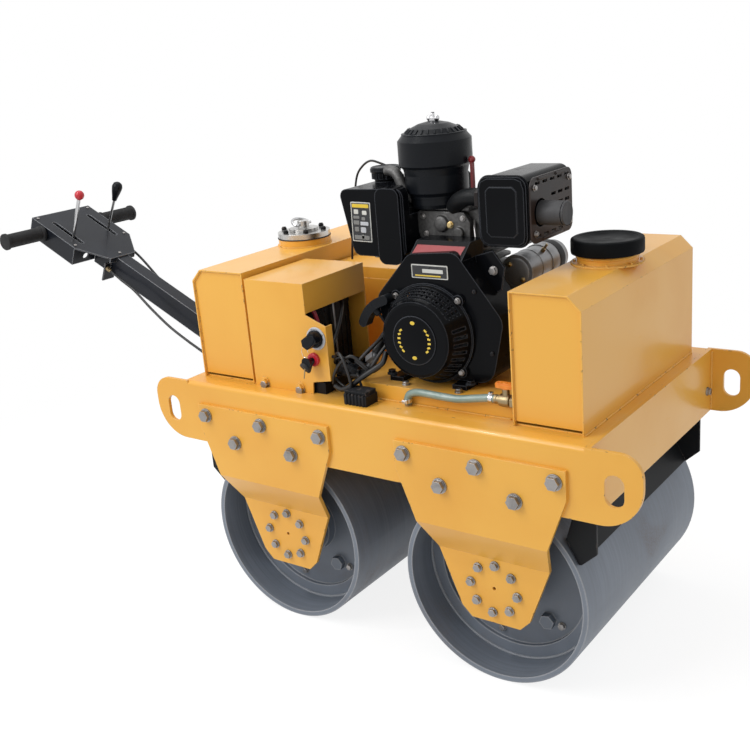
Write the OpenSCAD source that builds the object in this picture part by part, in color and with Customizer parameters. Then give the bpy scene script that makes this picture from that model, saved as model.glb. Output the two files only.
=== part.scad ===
// Walk-behind double-drum roller with a folding handle.
// X points forward, away from the handle, Y to the machine's left and Z up, in millimetres.
// The origin lies on the ground, under the middle of the machine's overall length and width.

/* [Drums] */
// Outer diameter of each drum
drum_d = 425; // [400:5:450]
// Width of each drum
drum_w = 590; // [560:5:620]
// Wall of the drum shell
shell_t = 12; // [6:1:18]
// Depth of the recess at each end of a drum
web_inset = 90; // [86:2:110]
// Thickness of the web discs
web_t = 12; // [8:1:16]
// Distance between the two axles
wheelbase = 560; // [540:5:620]

/* [Frame] */
// Width over the side plates
frame_w = 660; // [650:5:700]
// Height of the side plates
frame_h = 148; // [140:2:170]
// Thickness of the side plates
plate_t = 8; // [6:1:12]
// Gap between the drums and the lower edge of the frame
drum_gap = 7; // [5:1:20]
// Distance from an axle to the outer face of the nearer cross plate
cross_overhang = 238; // [230:2:280]
// Thickness of the cross plates
cross_t = 10; // [6:1:14]
// Length of the lifting lugs beyond the cross plates
lug_l = 102; // [96:2:130]
// Width of a lifting slot
slot_w = 38; // [30:1:44]
// Height of a lifting slot
slot_h = 64; // [50:2:72]
// Thickness of the deck
deck_t = 6; // [4:1:8]
// Height of the engine bed above the deck
bed_h = 34; // [20:1:50]

/* [Drum supports] */
// Thickness of the support plates
support_t = 8; // [6:1:10]
// Width of a support plate at its top
support_top_w = 386; // [360:2:400]
// Width of a support plate at its foot
support_foot_w = 160; // [150:2:190]
// How far the foot of a support lies inside the end of its drum
support_inset = 5; // [2:1:12]
// Circle of the small bolts at the foot
hub_bolt_pcd = 110; // [100:2:124]
// Number of small bolts at each foot
hub_bolts = 8; // [6:1:10]

/* [Tanks] */
// Half width of both tanks
tank_half_w = 283; // [260:1:300]
// Length of the water tank
water_l = 148; // [130:2:170]
// Height of the water tank
water_h = 267; // [220:1:300]
// Length of the oil tank
oil_l = 158; // [140:2:170]
// Height of the oil tank above the deck
oil_h = 260; // [220:1:300]
// Wall of the tanks
tank_t = 3; // [2:0.5:5]
// Diameter of the water cap
water_cap_d = 146; // [120:2:150]

/* [Cabinets] */
// Length of the battery cabinet
cab_l = 169; // [160:1:180]
// Height of both cabinets' sheet above the deck at the battery
cab_h = 248; // [230:1:270]
// Width of the battery cabinet
cab_w = 219; // [200:1:240]
// Height of the hydraulic cabinet
hyd_h = 215; // [180:1:240]
// Length of the hydraulic cabinet
hyd_l = 215; // [180:1:225]
// Thickness of the cabinets' sheet
sheet_t = 3; // [2:0.5:4]

/* [Engine] */
// Height of the crankshaft above the engine bed
crank_h = 108; // [100:1:120]
// Radius of the recoil starter's face
recoil_face_r = 82; // [70:1:90]
// Radius of the recoil starter at its root
recoil_root_r = 103; // [96:1:108]
// Depth of the recoil starter
recoil_l = 60; // [45:1:70]
// Diameter of the air cleaner's lid
cleaner_d = 157; // [140:1:170]
// Height of the air cleaner with its lid
cleaner_h = 176; // [160:1:190]
// Length of the muffler across the machine
muffler_l = 190; // [160:2:210]
// Width of the muffler
muffler_w = 108; // [90:1:120]
// Height of the muffler
muffler_h = 138; // [110:1:150]
// Number of cooling fins on the cylinder
fin_n = 6; // [3:1:9]
// Number of fan blades on the flywheel
blade_n = 14; // [8:1:20]

/* [Handle] */
// Length of the handle from its pivot to the end of the control head
handle_l = 834; // [760:2:900]
// Slope of the handle in its working position, in degrees
handle_tilt = 25.7; // [22:0.1:30]
// Depth of the beam
beam_h = 60; // [50:1:70]
// Width of the beam
beam_w = 40; // [30:1:50]
// Length of the control head's box
head_l = 187; // [170:1:210]
// Half width of the control head
head_half_w = 102; // [95:1:115]
// Half width across the grips' ends
grip_reach = 232; // [220:1:260]
// Diameter of the rubber grips
grip_d = 38; // [32:1:44]
// Radius of the travel lever's ball
ball_r = 13; // [10:1:16]

/* [Fits] */
// Gap between pieces that move past each other
gap = 0.3; // [0.2:0.05:0.6]
// Radial clearance of a running fit
fit = 0.05; // [0.02:0.01:0.1]

/* [Hidden] */
$fn = 64;
over = 1;
yellow = [0.93, 0.66, 0.24];
black = [0.08, 0.08, 0.09];
drum_grey = [0.42, 0.44, 0.47];
zinc = [0.68, 0.68, 0.66];
cast_grey = [0.47, 0.47, 0.46];

// Main heights and lengths that the pieces share
axle_z = drum_d / 2;
frame_z = drum_d + drum_gap;
deck_z = frame_z + frame_h;
half_w = frame_w / 2;
inner_w = half_w - plate_t;
axle_x = wheelbase / 2;
cross_x = axle_x + cross_overhang;
cross_in = cross_x - cross_t;
lug_reach = cross_x + lug_l;
bed_z = deck_z + bed_h;

// Folded edge of the side plates
bend_r = 10;
flange_w = 40;
lug_top_r = 45;
lug_low_r = 85;
slot_back = 55;
slot_drop = 2;
slot_rise = frame_h / 2 - slot_drop;

// Support plates, measured from the axle and the frame
support_out = half_w + support_t;
foot_out = drum_w / 2 - support_inset;
foot_in = foot_out - support_t;
support_drop = 50;
support_side_h = 60;
support_fold_drop = 76;
joggle_h = 75;
support_mid_w = 300;
support_waist_w = 258;
support_tip_w = 114;
foot_side_drop = 58;
foot_tip_drop = 81;
support_bolt_x = 170;
support_bolt_z = 25;
support_bolt_step = 56;
big_bolt_d = 16;
small_bolt_d = 10;
bolt_hole_gap = 0.5;
washer_t = 3;
access_hole_d = 8;

// Bearing carriers, drive motors and hubs
carrier_d = 150;
carrier_flange_t = 12;
cup_d = 108;
cup_bore_d = 90;
cup_floor_t = 12;
cup_clear = 3;
stub_d = 60;
bearing_w = 40;
bearing_d = 110;
race_t = 9;
race_groove = 4;
hub_d = 150;
hub_l = 60;
web_y = drum_w / 2 - web_inset;
hub_mid = web_y - web_t / 2;
eccentric_d = 30;
eccentric_r = 75;
eccentric_l = 180;
tail_d = 24;
drive_hub_d = 124;
drive_hub_t = 14;
drive_shaft_d = 32;
drive_shaft_l = 42;
spigot_d = 80;
motor_d = 100;
lip_r = 30;
lip_t = 10;
plug_d = 20;
plug_share = 0.62;
plug_turn = 50;

// Scrapers and sprinkler pipes
scraper_half_w = 285;
scraper_t = 6;
scraper_clear = 2;
scraper_low_a = 27.6;
scraper_high_a = 42.2;
post_w = 30;
post_h = 48;
pipe_d = 22;
pipe_x = 140;
pipe_drop = 125;
jet_d = 3;
jet_n = 9;
jet_span_share = 0.9;

// Water tank, its neck, cap, tap and hose
water_back = 32;
water_x1 = cross_x - water_back;
water_x0 = water_x1 - water_l;
chamfer = 27;
end_inset = 5;
foot_gap = 9;
neck_d = 122;
neck_t = 4;
neck_h = 28;
neck_flange_d = 144;
cap_h = 30;
cap_skirt = 8;
cap_t = 4;
tap_rise = 43;
tap_in = 18;
tap_l = 46;
tap_d = 24;
hose_d = 16;
hose_r = 6;
nipple_d = 12;
fitting_x = 81;
fitting_h = 3;
fitting_gap = 10;
neck_screws = 8;

// Oil tank and its filler
oil_back = 24;
oil_x0 = -cross_x + oil_back;
oil_x1 = oil_x0 + oil_l;
filler_y = 40;
filler_d = 130;
boss_h = 18;
flange_t = 14;
filler_bore_d = 56;
filler_bolts = 6;
filler_bolt_pcd = 108;
oil_cap_d = 72;
oil_cap_t = 7;
ring_r = 28;
ring_wire_d = 7;
ring_lean = 24;

// Cabinets, battery and controls
cab_gap = 9;
cab_out = 3;
cab_x0 = oil_x1 + cab_gap;
cab_x1 = cab_x0 + cab_l;
cab_y0 = -tank_half_w - cab_out;
cab_y1 = cab_y0 + cab_w;
header_h = 66;
panel_reach = 53;
panel_top_drop = 90;
panel_low = 36;
panel_return = 20;
hyd_y0 = 20;
hyd_fold = 27;
battery_l = 128;
battery_w = 180;
battery_h = 175;
battery_in = 4;
battery_out = 5;
terminal_d = 18;
terminal_h = 14;
cell_cap_d = 16;
cell_cap_h = 4;
cells = 6;
tray_h = 26;
tray_reach = 64;
dial_ahead = 25;
dial_rise = 130;
dial_x = cab_x1 + dial_ahead;
dial_z = deck_z + dial_rise;
key_ahead = 14;
key_rise = 82;
key_x = cab_x1 + key_ahead;
key_z = deck_z + key_rise;
dial_d = 50;
bezel_d = 26;
knob_turn = 35;
relay_x = -52;
relay_y = -312;
relay_l = 58;
relay_w = 42;
relay_h = 22;
relay_fins = 6;
relay_fin_t = 4;
relay_fin_step = 9;
relay_fin_out = 2;
relay_fin_up = 3;

// Engine, measured from its crankshaft
engine_x = 105;
crank_z = bed_z + crank_h;
face_y = -260;
face_chamfer = 2;
face_step = 8;
shroud_y = face_y + recoil_l;
shroud_l = 96;
shroud_t = 3;
crown_x = -43;
crown_l = 128;
crown_w = 88;
crown_run = 38;
crown_lip = 155;
crown_top = 187;
crown_low = 146;
recoil_t = 3;
recoil_rim = 4;
recoil_ear_d = 24;
recoil_ear_t = 7;
case_y0 = shroud_y + shroud_l;
case_l = 205;
case_w = 190;
case_top = 84;
rail_w = 34;
rail_h = 10;
rail_y0 = -224;
rope_x = -92;
rope_y = -226;
rope_z = 18;
rope_lean = 42;
rope_d = 6;
rope_inside = 66;
rope_out = 26;
grip_stem = 20;
grip_arc_r = 88;
grip_w = 24;
grip_t = 20;
crank_d = 35;
louvre_angles = [for (a = [-66:10:14]) a, for (a = [36:8:128]) a, for (a = [196:10:226]) a];
louvre_w = 6;
flywheel_r = 92;
flywheel_t = 16;
blade_h = 22;
head_x = -14;
head_w = 118;
head_y = -28;
head_d = 128;
fin_w = 146;
fin_t = 4;
barrel_d = 104;
lever_base_x = 34;
lever_base_y = -58;
lever_base_t = 7;
lever_base_h = 18;
relief_t = 5;
relief_w = 10;
relief_h = 92;
head_top = 236;
rocker_h = 58;
cleaner_x = 54;
cleaner_y = -60;
cleaner_rise = 349;
cleaner_z = bed_z + cleaner_rise;
wing_d = 12;
wing_out = 9;
nut_d = 16;
nut_h = 8;
stud_d = 7;
stud_h = 19;
tank_x0 = -138;
tank_x1 = 26;
tank_y0 = -152;
fuel_l = 282;
fuel_rise = 251;
fuel_z = bed_z + fuel_rise;
fuel_h = 146;
fuel_top_r = 16;
fuel_low_r = 20;
fuel_slant = 24;
band_x = -10;
band_out = 9;
band_l = 60;
band_w = 24;
band_r = 18;
band_low = 4;
bracket_y0 = -60;
bracket_y1 = 40;
bracket_w = 32;
recess_clear = 8;
fuel_neck_in = 42;
fuel_neck_x = tank_x0 + fuel_neck_in;
fuel_neck_y = -35;
fuel_neck_h = 5;
fuel_neck_t = 4;
fuel_pit_h = 44;
fuel_plug_h = 9;
fuel_cap_d = 64;
fuel_cap_h = 24;
fuel_grips = 12;
fuel_grip_d = 7;
muffler_x = 200;
muffler_y = -140;
muffler_rise = 284;
muffler_z = bed_z + muffler_rise;
muffler_r = 22;
stub_pipe_d = 48;
stub_pipe_l = 62;
stub_pipe_t = 4;
stub_pipe_y = 46;
stub_pipe_in = 12;
stub_floor = 16;
inlet_d = 34;
guard_gap = 4;
guard_t = 3;
guard_in = 8;
guard_post_d = 10;
guard_post_in = 20;
guard_post_up = 24;
grille_l = 20;
grille_h = 6;
grille_pitch = 32;
grille_x = 24;
grille_low = 14;
grille_high = 20;
vent_y = 92;
vent_pitch = 30;
vent_z = 48;
starter_d = 74;
starter_l = 176;
starter_x = 115;
starter_h = 98;
starter_y = -30;
starter_step = 3;
starter_foot_y = 20;
starter_foot_l = 60;
pump_bell_l = 62;
pump_d = 92;
pump_l = 78;
pump_block_y = 10;
pump_block_l = 54;

// Handle, measured in its own frame: pivot at zero, plate above, box towards -X
pivot_out = 57;
pivot_back = cross_x + pivot_out;
pivot_rise = 79;
pivot_z = frame_z + pivot_rise;
pin_d = 20;
ear_t = 10;
ear_r = 32;
stop_l = 26;
stop_d = 14;
stop_r = 14;
head_t = 4;
plate_z = beam_h / 2 + head_t;
head_depth = 55;
nose_l = 88;
nose_half_w = 45;
bar_in = 54;
bar_x = -handle_l + bar_in;
bar_drop = 23;
bar_z = plate_z - bar_drop;
bar_d = 28;
bracket_ahead = 63;
bracket_x = -handle_l + head_l + bracket_ahead;
bracket_reach = 22;
lever_in = 134;
lever_x = -handle_l + lever_in;
lever_y = 62;
lever_drop = 44;
lever_z = plate_z - lever_drop;
lever_rod_d = 9;
lever_pin_d = 8;
lever_disc_d = 22;
lever_disc_t = 11;
lever_rise = 132;
lever_slot_w = 12;
lever_slot_l = 130;
lever_slot_in = 45;
cable_hole_d = 18;
cable_hole_rise = 8;
throttle_lean = 4;
throttle_more = 12;
knob_d = 28;
knob_l = 57;
knob_in = 45;
knob_lap = 5;
knob_shares = [[0, 0], [0.43, 0], [0.57, 0.21], [0.93, 0.6], [1, 0.77], [0.79, 0.91], [0.36, 0.98], [0, 1]];
grip_end = 6;
grip_rim = 4;
grip_rim_l = 7;
grip_fade = 2;
rear_reach = pivot_back + handle_l * cos(handle_tilt) + (head_depth - plate_z) * sin(handle_tilt);
mid_shift = (rear_reach - lug_reach) / 2;

// Routes of the cables, the hose and the harness, in the machine's own frame
cable_end = [[-985, -46, 697], [-920, -52, 652], [-850, -57, 608], [-780, -62, 575], [-710, -74, 552],
    [-650, -92, 533], [-605, -98, 519], [-583, -90, 511], [-575, -74, 511], [-575, -60, 511], [-575, -43.9, 511]];
near_cable = concat([[-1102.4, -34, 752.6], [-1095.2, -34, 749.1], [-1088, -34, 745.7], [-1040, -40, 722]], cable_end);
far_cable = concat([[-1152.2, -60, 802.1], [-1145, -60, 798.6], [-1137.8, -60, 795.2], [-1120, -60, 794.5]],
    [[-1098, -60, 789], [-1075, -60, 775], [-1047, -60, 753], [-997, -60, 708]],
    [for (i = [1:len(cable_end) - 1]) cable_end[i]]);
cable_d = 7;
hose_route = [[291, -265, 623], [276, -265, 623], [240, -266, 617], [205, -268, 612], [165, -268, 612],
    [130, -267, 613], [106, -266, 612], [88, -265, 606], [81, -265, 596], [81, -265, 584]];
harness_route = [[-128, -283, 640], [-128, -275, 640], [-128, -266, 640], [-118, -250, 632], [-92, -246, 627],
    [-64, -248, 626], [-42, -246, 630], [-30, -232, 650], [-30, -206, 676], [-32, -170, 696], [-32, -130, 702],
    [-28, -102, 700], [-14, -84, 700], [-2, -84, 700], [10, -84, 700]];
harness_d = 20;
loop_route = [[-105, -272, 668], [-101, -272, 668], [-97, -272, 668], [-80, -284, 682], [-62, -292, 674], [-50, -294, 648],
    [-46, -292, 624], [-46, -292, 615], [-46, -292, 605]];
loop_d = 7;
lead_route = [[-253, -121, 775.7], [-228, -123, 775.7], [-204, -126, 774], [-184, -131, 765], [-170, -142, 748],
    [-158, -160, 739], [-148, -180, 726], [-139, -208, 702], [-130, -240, 680], [-124, -264, 666],
    [-124, -274, 666], [-124, -283, 666]];
lead_d = 9;
vent_route = [[-112, 12, 1009.5], [-112, 12, 1016], [-113, 12, 1023], [-122, 9, 1035], [-140, 3, 1044],
    [-160, -2, 1049], [-181, -4, 1038], [-199, -5, 1016], [-210, -5, 975], [-220, -5, 925], [-230, -5, 862], [-235, -5, 818]];
vent_d = 4;

// Moves a piece from the machine's middle to the origin under its overall length
module machine() translate([mid_shift, 0, 0]) children();

// Draws a left-hand copy of a piece drawn on the right
module on_side(side) { if (side > 0) mirror([0, 1, 0]) children(); else children(); }

// Turns an outline drawn in X and Z into a plate whose near face lies at y
module plate_xz(y, t) translate([0, y + t, 0]) rotate([90, 0, 0]) linear_extrude(t) children();

// Turns an outline drawn in Y and Z into a bar from x along X
module bar_yz(x, l) translate([x, 0, 0]) rotate([90, 0, 90]) linear_extrude(l) children();

// Round bar along Y
module rod_y(d, y, l, x = 0, z = 0) translate([x, y, z]) rotate([-90, 0, 0]) cylinder(d = d, h = l);

// Turns a profile of radius and Y about an axis along Y
module turned_y(x, z) translate([x, 0, z]) rotate([-90, 0, 0]) rotate_extrude() children();

module round_rect(w, h, r) {
    square([w - 2 * r, h], center = true);
    square([w, h - 2 * r], center = true);
    for (sx = [-1, 1], sy = [-1, 1]) translate([sx * (w / 2 - r), sy * (h / 2 - r)]) circle(r);
}

module slot(l, w) {
    square([l - w, w], center = true);
    for (s = [-1, 1]) translate([s * (l - w) / 2, 0]) circle(d = w);
}

function unit(v) = v / norm(v);
function spline(a, b, c, d, t) =
    0.5 * (2 * b + (c - a) * t + (2 * a - 5 * b + 4 * c - d) * t * t + (3 * b - a - 3 * c + d) * t * t * t);
function at(p, i) = p[max(0, min(len(p) - 1, i))];
function smooth(p, steps) = [
    for (i = [0:len(p) - 2], k = [0:steps - 1]) spline(at(p, i - 1), p[i], p[i + 1], at(p, i + 2), k / steps),
    p[len(p) - 1]
];
function heading(p, i) = unit(at(p, i + 1) - at(p, i - 1));
function square_to(n, t) = unit(n - (n * t) * t);
function normals(p, i = 0, n = [0, 0, 1], done = []) = i == len(p) ? done :
    let (m = square_to(n, heading(p, i))) normals(p, i + 1, m, concat(done, [m]));

// Sweeps a round tube along a route, as triangles with flat ends
module tube(route, d, steps = 2, sides = 8) {
    p = smooth(route, steps);
    n = normals(p);
    points = [for (i = [0:len(p) - 1], k = [0:sides - 1])
        let (a = 360 * k / sides) p[i] + d / 2 * (cos(a) * n[i] + sin(a) * cross(heading(p, i), n[i]))];
    walls = [for (i = [0:len(p) - 2], k = [0:sides - 1])
        let (a = i * sides + k, b = i * sides + (k + 1) % sides)
        each [[a, b, b + sides], [a, b + sides, a + sides]]];
    last = (len(p) - 1) * sides;
    ends = [[for (k = [sides - 1:-1:0]) k], [for (k = [0:sides - 1]) last + k]];
    polyhedron(points, concat(walls, ends));
}

// Mirrors a route to the other side of the machine
function across(route) = [for (p = route) [p[0], -p[1], p[2]]];

module ball(r) rotate_extrude() intersection() {
    circle(r);
    translate([0, -r]) square([r, 2 * r]);
}

// Hexagon head with its washer on a face at zero, looking along +Z
module bolt_head(d, washer = true) {
    if (washer) cylinder(d = 2.1 * d, h = washer_t);
    cylinder(d = 1.75 * d, h = washer_t + 0.65 * d, $fn = 6);
}

// Side plate

module side_outline() {
    low = lug_reach - lug_low_r;
    high = lug_reach - lug_top_r;
    for (s = [-1, 1]) scale([s, 1]) {
        translate([0, frame_z]) square([low, frame_h]);
        translate([low - over, frame_z + lug_low_r]) square([lug_low_r + over, frame_h - lug_low_r - lug_top_r]);
        translate([low - over, frame_z + lug_low_r]) square([lug_low_r - lug_top_r + over, frame_h - lug_low_r]);
        translate([high, deck_z - lug_top_r]) circle(lug_top_r);
        intersection() {
            translate([low, frame_z + lug_low_r]) circle(lug_low_r);
            translate([low - over, frame_z]) square(lug_low_r + over);
        }
    }
}

module fold_profile() {
    leg = frame_h / 2;
    translate([-half_w, deck_z - leg]) square([plate_t, leg - bend_r]);
    translate([-half_w + bend_r, deck_z - plate_t]) square([flange_w - bend_r, plate_t]);
    translate([-half_w + bend_r, deck_z - bend_r]) intersection() {
        difference() {
            circle(bend_r);
            circle(bend_r - plate_t);
        }
        translate([-bend_r, 0]) square(bend_r);
    }
}

module support_bolt_places() {
    for (s = [-1, 1], row = [0, 1], c = row == 0 ? [-1, 0, 1] : [-0.5, 0.5])
        translate([s * axle_x + c * support_bolt_x, 0, deck_z - support_drop - support_bolt_z - row * support_bolt_step])
            children();
}

module side_plate(side) on_side(side) difference() {
    union() {
        plate_xz(-half_w, plate_t) difference() {
            side_outline();
            translate([-cross_in, deck_z - bend_r]) square([2 * cross_in, bend_r + over]);
        }
        bar_yz(-cross_in, 2 * cross_in) fold_profile();
    }
    for (s = [-1, 1]) translate([s * (lug_reach - slot_back), 0, frame_z + slot_rise])
        plate_xz(-half_w - over, plate_t + 2 * over) rotate(90) slot(slot_h, slot_w);
    support_bolt_places() rod_y(big_bolt_d + 2 * bolt_hole_gap, -half_w - over, plate_t + 2 * over);
}

module right_side_plate() color(yellow) machine() side_plate(-1);
module left_side_plate() color(yellow) machine() side_plate(1);

// Deck, cross plates and engine bed

module deck() color(yellow) machine() {
    w = half_w - flange_w;
    translate([-cross_in, -w, deck_z - deck_t]) cube([2 * cross_in, 2 * w, deck_t]);
}

module front_cross_plate() color(yellow) machine()
    translate([cross_in, -inner_w, frame_z]) cube([cross_t, 2 * inner_w, frame_h]);

// The handle's stop hangs below the beam, between the ears
stop_drop = beam_h / 2 + gap + stop_d / 2;
stop_arm = norm([stop_l, stop_drop]);
stop_a = atan2(-stop_drop, -stop_l) - handle_tilt;

module ear_outline() {
    translate([-pivot_back, pivot_z - ear_r]) square([pivot_out + over, 2 * ear_r]);
    translate([-pivot_back, pivot_z]) {
        circle(ear_r);
        rotate(stop_a) translate([0, -stop_r]) square([stop_arm, 2 * stop_r]);
        rotate(stop_a) translate([stop_arm, 0]) circle(stop_r);
    }
}

module rear_cross_plate() color(yellow) machine() {
    ear_y = beam_w / 2 + gap;
    translate([-cross_x, -inner_w, frame_z]) cube([cross_t, 2 * inner_w, frame_h]);
    for (side = [-1, 1]) on_side(side) difference() {
        union() {
            plate_xz(-ear_y - ear_t, ear_t) intersection() {
                ear_outline();
                translate([-2 * pivot_back, 0]) square([2 * pivot_back - cross_x, deck_z]);
            }
            rod_y(2 * ear_r * 0.7, -ear_y - 2 * ear_t, ear_t, -pivot_back, pivot_z);
        }
        rod_y(pin_d + 2 * fit, -ear_y - 3 * ear_t, 4 * ear_t, -pivot_back, pivot_z);
    }
    rod_y(stop_d, -ear_y - ear_t / 2, 2 * ear_y + ear_t,
        -pivot_back + stop_arm * cos(stop_a), pivot_z + stop_arm * sin(stop_a));
}

module handle_pin() color(zinc) machine() translate([-pivot_back, 0, pivot_z]) {
    reach = beam_w / 2 + gap + 2 * ear_t;
    rod_y(pin_d, -reach, 2 * reach);
    for (side = [-1, 1]) on_side(side) rod_y(pin_d * 1.5, -reach - washer_t - gap, washer_t);
    for (side = [-1, 1]) on_side(side) rod_y(pin_d, -reach - 2 * gap, 2 * gap);
}

bed_back = 80;
bed_front = 12;
bed_x0 = engine_x - case_w / 2 - bed_back;
bed_x1 = water_x0 - bed_front;
bed_y0 = -255;
bed_y1 = 190;

module engine_bed() color(yellow) machine() bar_yz(bed_x0, bed_x1 - bed_x0) difference() {
    translate([bed_y0, deck_z]) square([bed_y1 - bed_y0, bed_h]);
    translate([bed_y0 + deck_t, deck_z - over]) square([bed_y1 - bed_y0 - 2 * deck_t, bed_h - deck_t + over]);
}

// Support plates: flat at the frame, then set inwards to reach inside the drum

module support_outline() {
    top = deck_z - support_drop;
    fold = frame_z - support_fold_drop;
    half = [
        [support_top_w / 2, top],
        [support_top_w / 2, top - support_side_h],
        [support_mid_w / 2, fold],
        [support_waist_w / 2, fold - joggle_h],
        [support_foot_w / 2, axle_z - foot_side_drop],
        [support_tip_w / 2, axle_z - foot_tip_drop]
    ];
    polygon(concat(half, [for (i = [len(half) - 1:-1:0]) [-half[i][0], half[i][1]]]));
}

module joggle_profile() {
    top = deck_z - support_drop;
    fold = frame_z - support_fold_drop;
    step = support_out - foot_out;
    rise = support_t * tan(atan(step / joggle_h) / 2);
    outer = [[-support_out, top], [-support_out, fold], [-foot_out, fold - joggle_h], [-foot_out, 0]];
    inner = [[support_t, 0], [support_t, rise], [support_t, rise], [support_t, 0]];
    polygon(concat(outer, [for (i = [3:-1:0]) outer[i] + inner[i]]));
}

module supports(x) for (side = [-1, 1]) on_side(side) difference() {
    intersection() {
        bar_yz(x - support_top_w, 2 * support_top_w) joggle_profile();
        plate_xz(-support_out - over, support_out) translate([x, 0]) support_outline();
    }
    support_bolt_places() rod_y(big_bolt_d + 2 * bolt_hole_gap, -support_out - over, support_t + 2 * over);
    rod_y(access_hole_d, -foot_out - over, support_t + 2 * over, x, axle_z);
}

module front_supports() color(yellow) machine() supports(axle_x);
module rear_supports() color(yellow) machine() supports(-axle_x);

module support_bolts() color(zinc) machine() for (side = [-1, 1]) on_side(side) {
    support_bolt_places() {
        translate([0, -support_out, 0]) rotate([90, 0, 0]) bolt_head(big_bolt_d);
        rod_y(big_bolt_d, -support_out - over, support_t + plate_t + over);
        translate([0, -inner_w, 0]) rotate([-90, 0, 0]) bolt_head(big_bolt_d);
    }
    for (s = [-1, 1], k = [0:hub_bolts - 1]) {
        a = 360 * k / hub_bolts - 5;
        translate([s * axle_x + hub_bolt_pcd / 2 * cos(a), -foot_out, axle_z + hub_bolt_pcd / 2 * sin(a)])
            rotate([90, 0, 0]) bolt_head(small_bolt_d);
    }
}

// Drum ends: carriers and bearings on the right, drive motors on the left

cup_end = hub_mid + hub_l / 2 + cup_clear;
stub_end = hub_mid - bearing_w / 2 - cup_clear;

module bearing_carriers() color(cast_grey) machine() for (s = [-1, 1]) turned_y(s * axle_x, axle_z)
    polygon([
        [cup_bore_d / 2, -foot_in], [carrier_d / 2, -foot_in],
        [carrier_d / 2, -foot_in + carrier_flange_t], [cup_d / 2, -foot_in + carrier_flange_t],
        [cup_d / 2, -cup_end], [stub_d / 2, -cup_end], [stub_d / 2, -stub_end],
        [eccentric_d / 2 + fit, -stub_end], [eccentric_d / 2 + fit, -cup_end - cup_floor_t],
        [cup_bore_d / 2, -cup_end - cup_floor_t]
    ]);

module drum_bearings() color(zinc) machine() for (s = [-1, 1]) turned_y(s * axle_x, axle_z) difference() {
    translate([stub_d / 2 + fit, -hub_mid - bearing_w / 2]) square([(bearing_d - stub_d) / 2 - fit, bearing_w]);
    for (e = [-1, 1]) translate([(stub_d + bearing_d) / 4, -hub_mid + e * bearing_w / 2])
        square([(bearing_d - stub_d) / 2 - 2 * race_t, 2 * race_groove], center = true);
}

module drive_motors() color(black) machine() for (s = [-1, 1]) {
    turned_y(s * axle_x, axle_z) polygon([
        [0, foot_in], [carrier_d / 2, foot_in], [carrier_d / 2, foot_in - carrier_flange_t],
        [motor_d / 2, foot_in - carrier_flange_t], [motor_d / 2, web_y + drive_hub_t + cup_clear],
        [drive_shaft_d / 2 + fit, web_y + drive_hub_t + cup_clear],
        [drive_shaft_d / 2 + fit, web_y + drive_hub_t + drive_shaft_l + gap],
        [0, web_y + drive_hub_t + drive_shaft_l + gap]
    ]);
}

module vibration_motor() color(black) machine() {
    tail_y = -cup_end - cup_floor_t - gap;
    turned_y(axle_x, axle_z) polygon([
        [0, -foot_in + gap], [cup_bore_d / 2 - gap, -foot_in + gap], [cup_bore_d / 2 - gap, tail_y],
        [tail_d / 2 + fit, tail_y], [tail_d / 2 + fit, -foot_in + cup_floor_t], [0, -foot_in + cup_floor_t]
    ]);
}

module drum_profile() {
    inner_r = drum_d / 2 - shell_t;
    hub_y = hub_mid - hub_l / 2;
    translate([inner_r, -drum_w / 2]) square([shell_t, drum_w]);
    translate([bearing_d / 2 + fit, -hub_mid - hub_l / 2]) square([(hub_d - bearing_d) / 2 - fit, hub_l]);
    translate([bearing_d / 2 + fit, -web_y]) square([inner_r - bearing_d / 2, web_t]);
    translate([spigot_d / 2 + fit, web_y - web_t]) square([inner_r - spigot_d / 2, web_t]);
    for (e = [-1, 1]) translate([inner_r - lip_r, e > 0 ? web_y - over : -web_y - lip_t])
        square([lip_r + over, lip_t + over]);
}

module drum(x) {
    plug_r = plug_share * (drum_d / 2 - shell_t);
    turned_y(x, axle_z) drum_profile();
    translate([x, -web_y + over, axle_z]) rotate([0, plug_turn, 0]) translate([plug_r, 0, 0]) rotate([90, 0, 0])
        bolt_head(plug_d, false);
}

module drive_hub(x) turned_y(x, axle_z) {
    difference() {
        union() {
            translate([0, web_y - web_t]) square([spigot_d / 2 - fit, web_t + over]);
            translate([0, web_y]) square([drive_hub_d / 2, drive_hub_t]);
            square_top = drive_shaft_l;
            translate([0, web_y]) square([drive_shaft_d / 2, drive_hub_t + square_top]);
        }
        translate([0, web_y - web_t - over]) square([tail_d / 2 + fit, web_t + over + gap]);
    }
}

module front_drum() color(drum_grey) machine() drum(axle_x);
module rear_drum() color(drum_grey) machine() drum(-axle_x);
module front_drive_hub() color(zinc) machine() drive_hub(axle_x);
module rear_drive_hub() color(zinc) machine() drive_hub(-axle_x);

module eccentric_shaft() color(zinc) machine() translate([axle_x, 0, axle_z]) {
    tail_y = -foot_in + cup_floor_t + gap;
    rod_y(tail_d, tail_y, web_y - tail_y);
    rod_y(eccentric_d, -cup_end - cup_floor_t - gap, cup_end + cup_floor_t + web_y - web_t);
    plate_xz(-eccentric_l / 2, eccentric_l) intersection() {
        circle(eccentric_r);
        translate([-eccentric_r, -2 * eccentric_r]) square(2 * eccentric_r);
    }
    for (s = [-1, 1])
        rod_y(1.5 * eccentric_d, s > 0 ? eccentric_l / 2 : -eccentric_l / 2 - eccentric_d / 2, eccentric_d / 2);
}

// Scrapers: a blade leaning on each drum, hung from the cross plate by two end plates

function from_axle(gap_r, a) = [axle_x + (drum_d / 2 + gap_r) * cos(a), axle_z + (drum_d / 2 + gap_r) * sin(a)];
scraper_low = from_axle(scraper_clear, scraper_low_a);
scraper_high = from_axle(5 * scraper_clear, scraper_high_a);

module blade_outline() {
    lean = unit(scraper_high - scraper_low);
    out = scraper_t * [lean[1], -lean[0]];
    polygon([scraper_low, scraper_high, scraper_high + out, scraper_low + out]);
}

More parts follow.
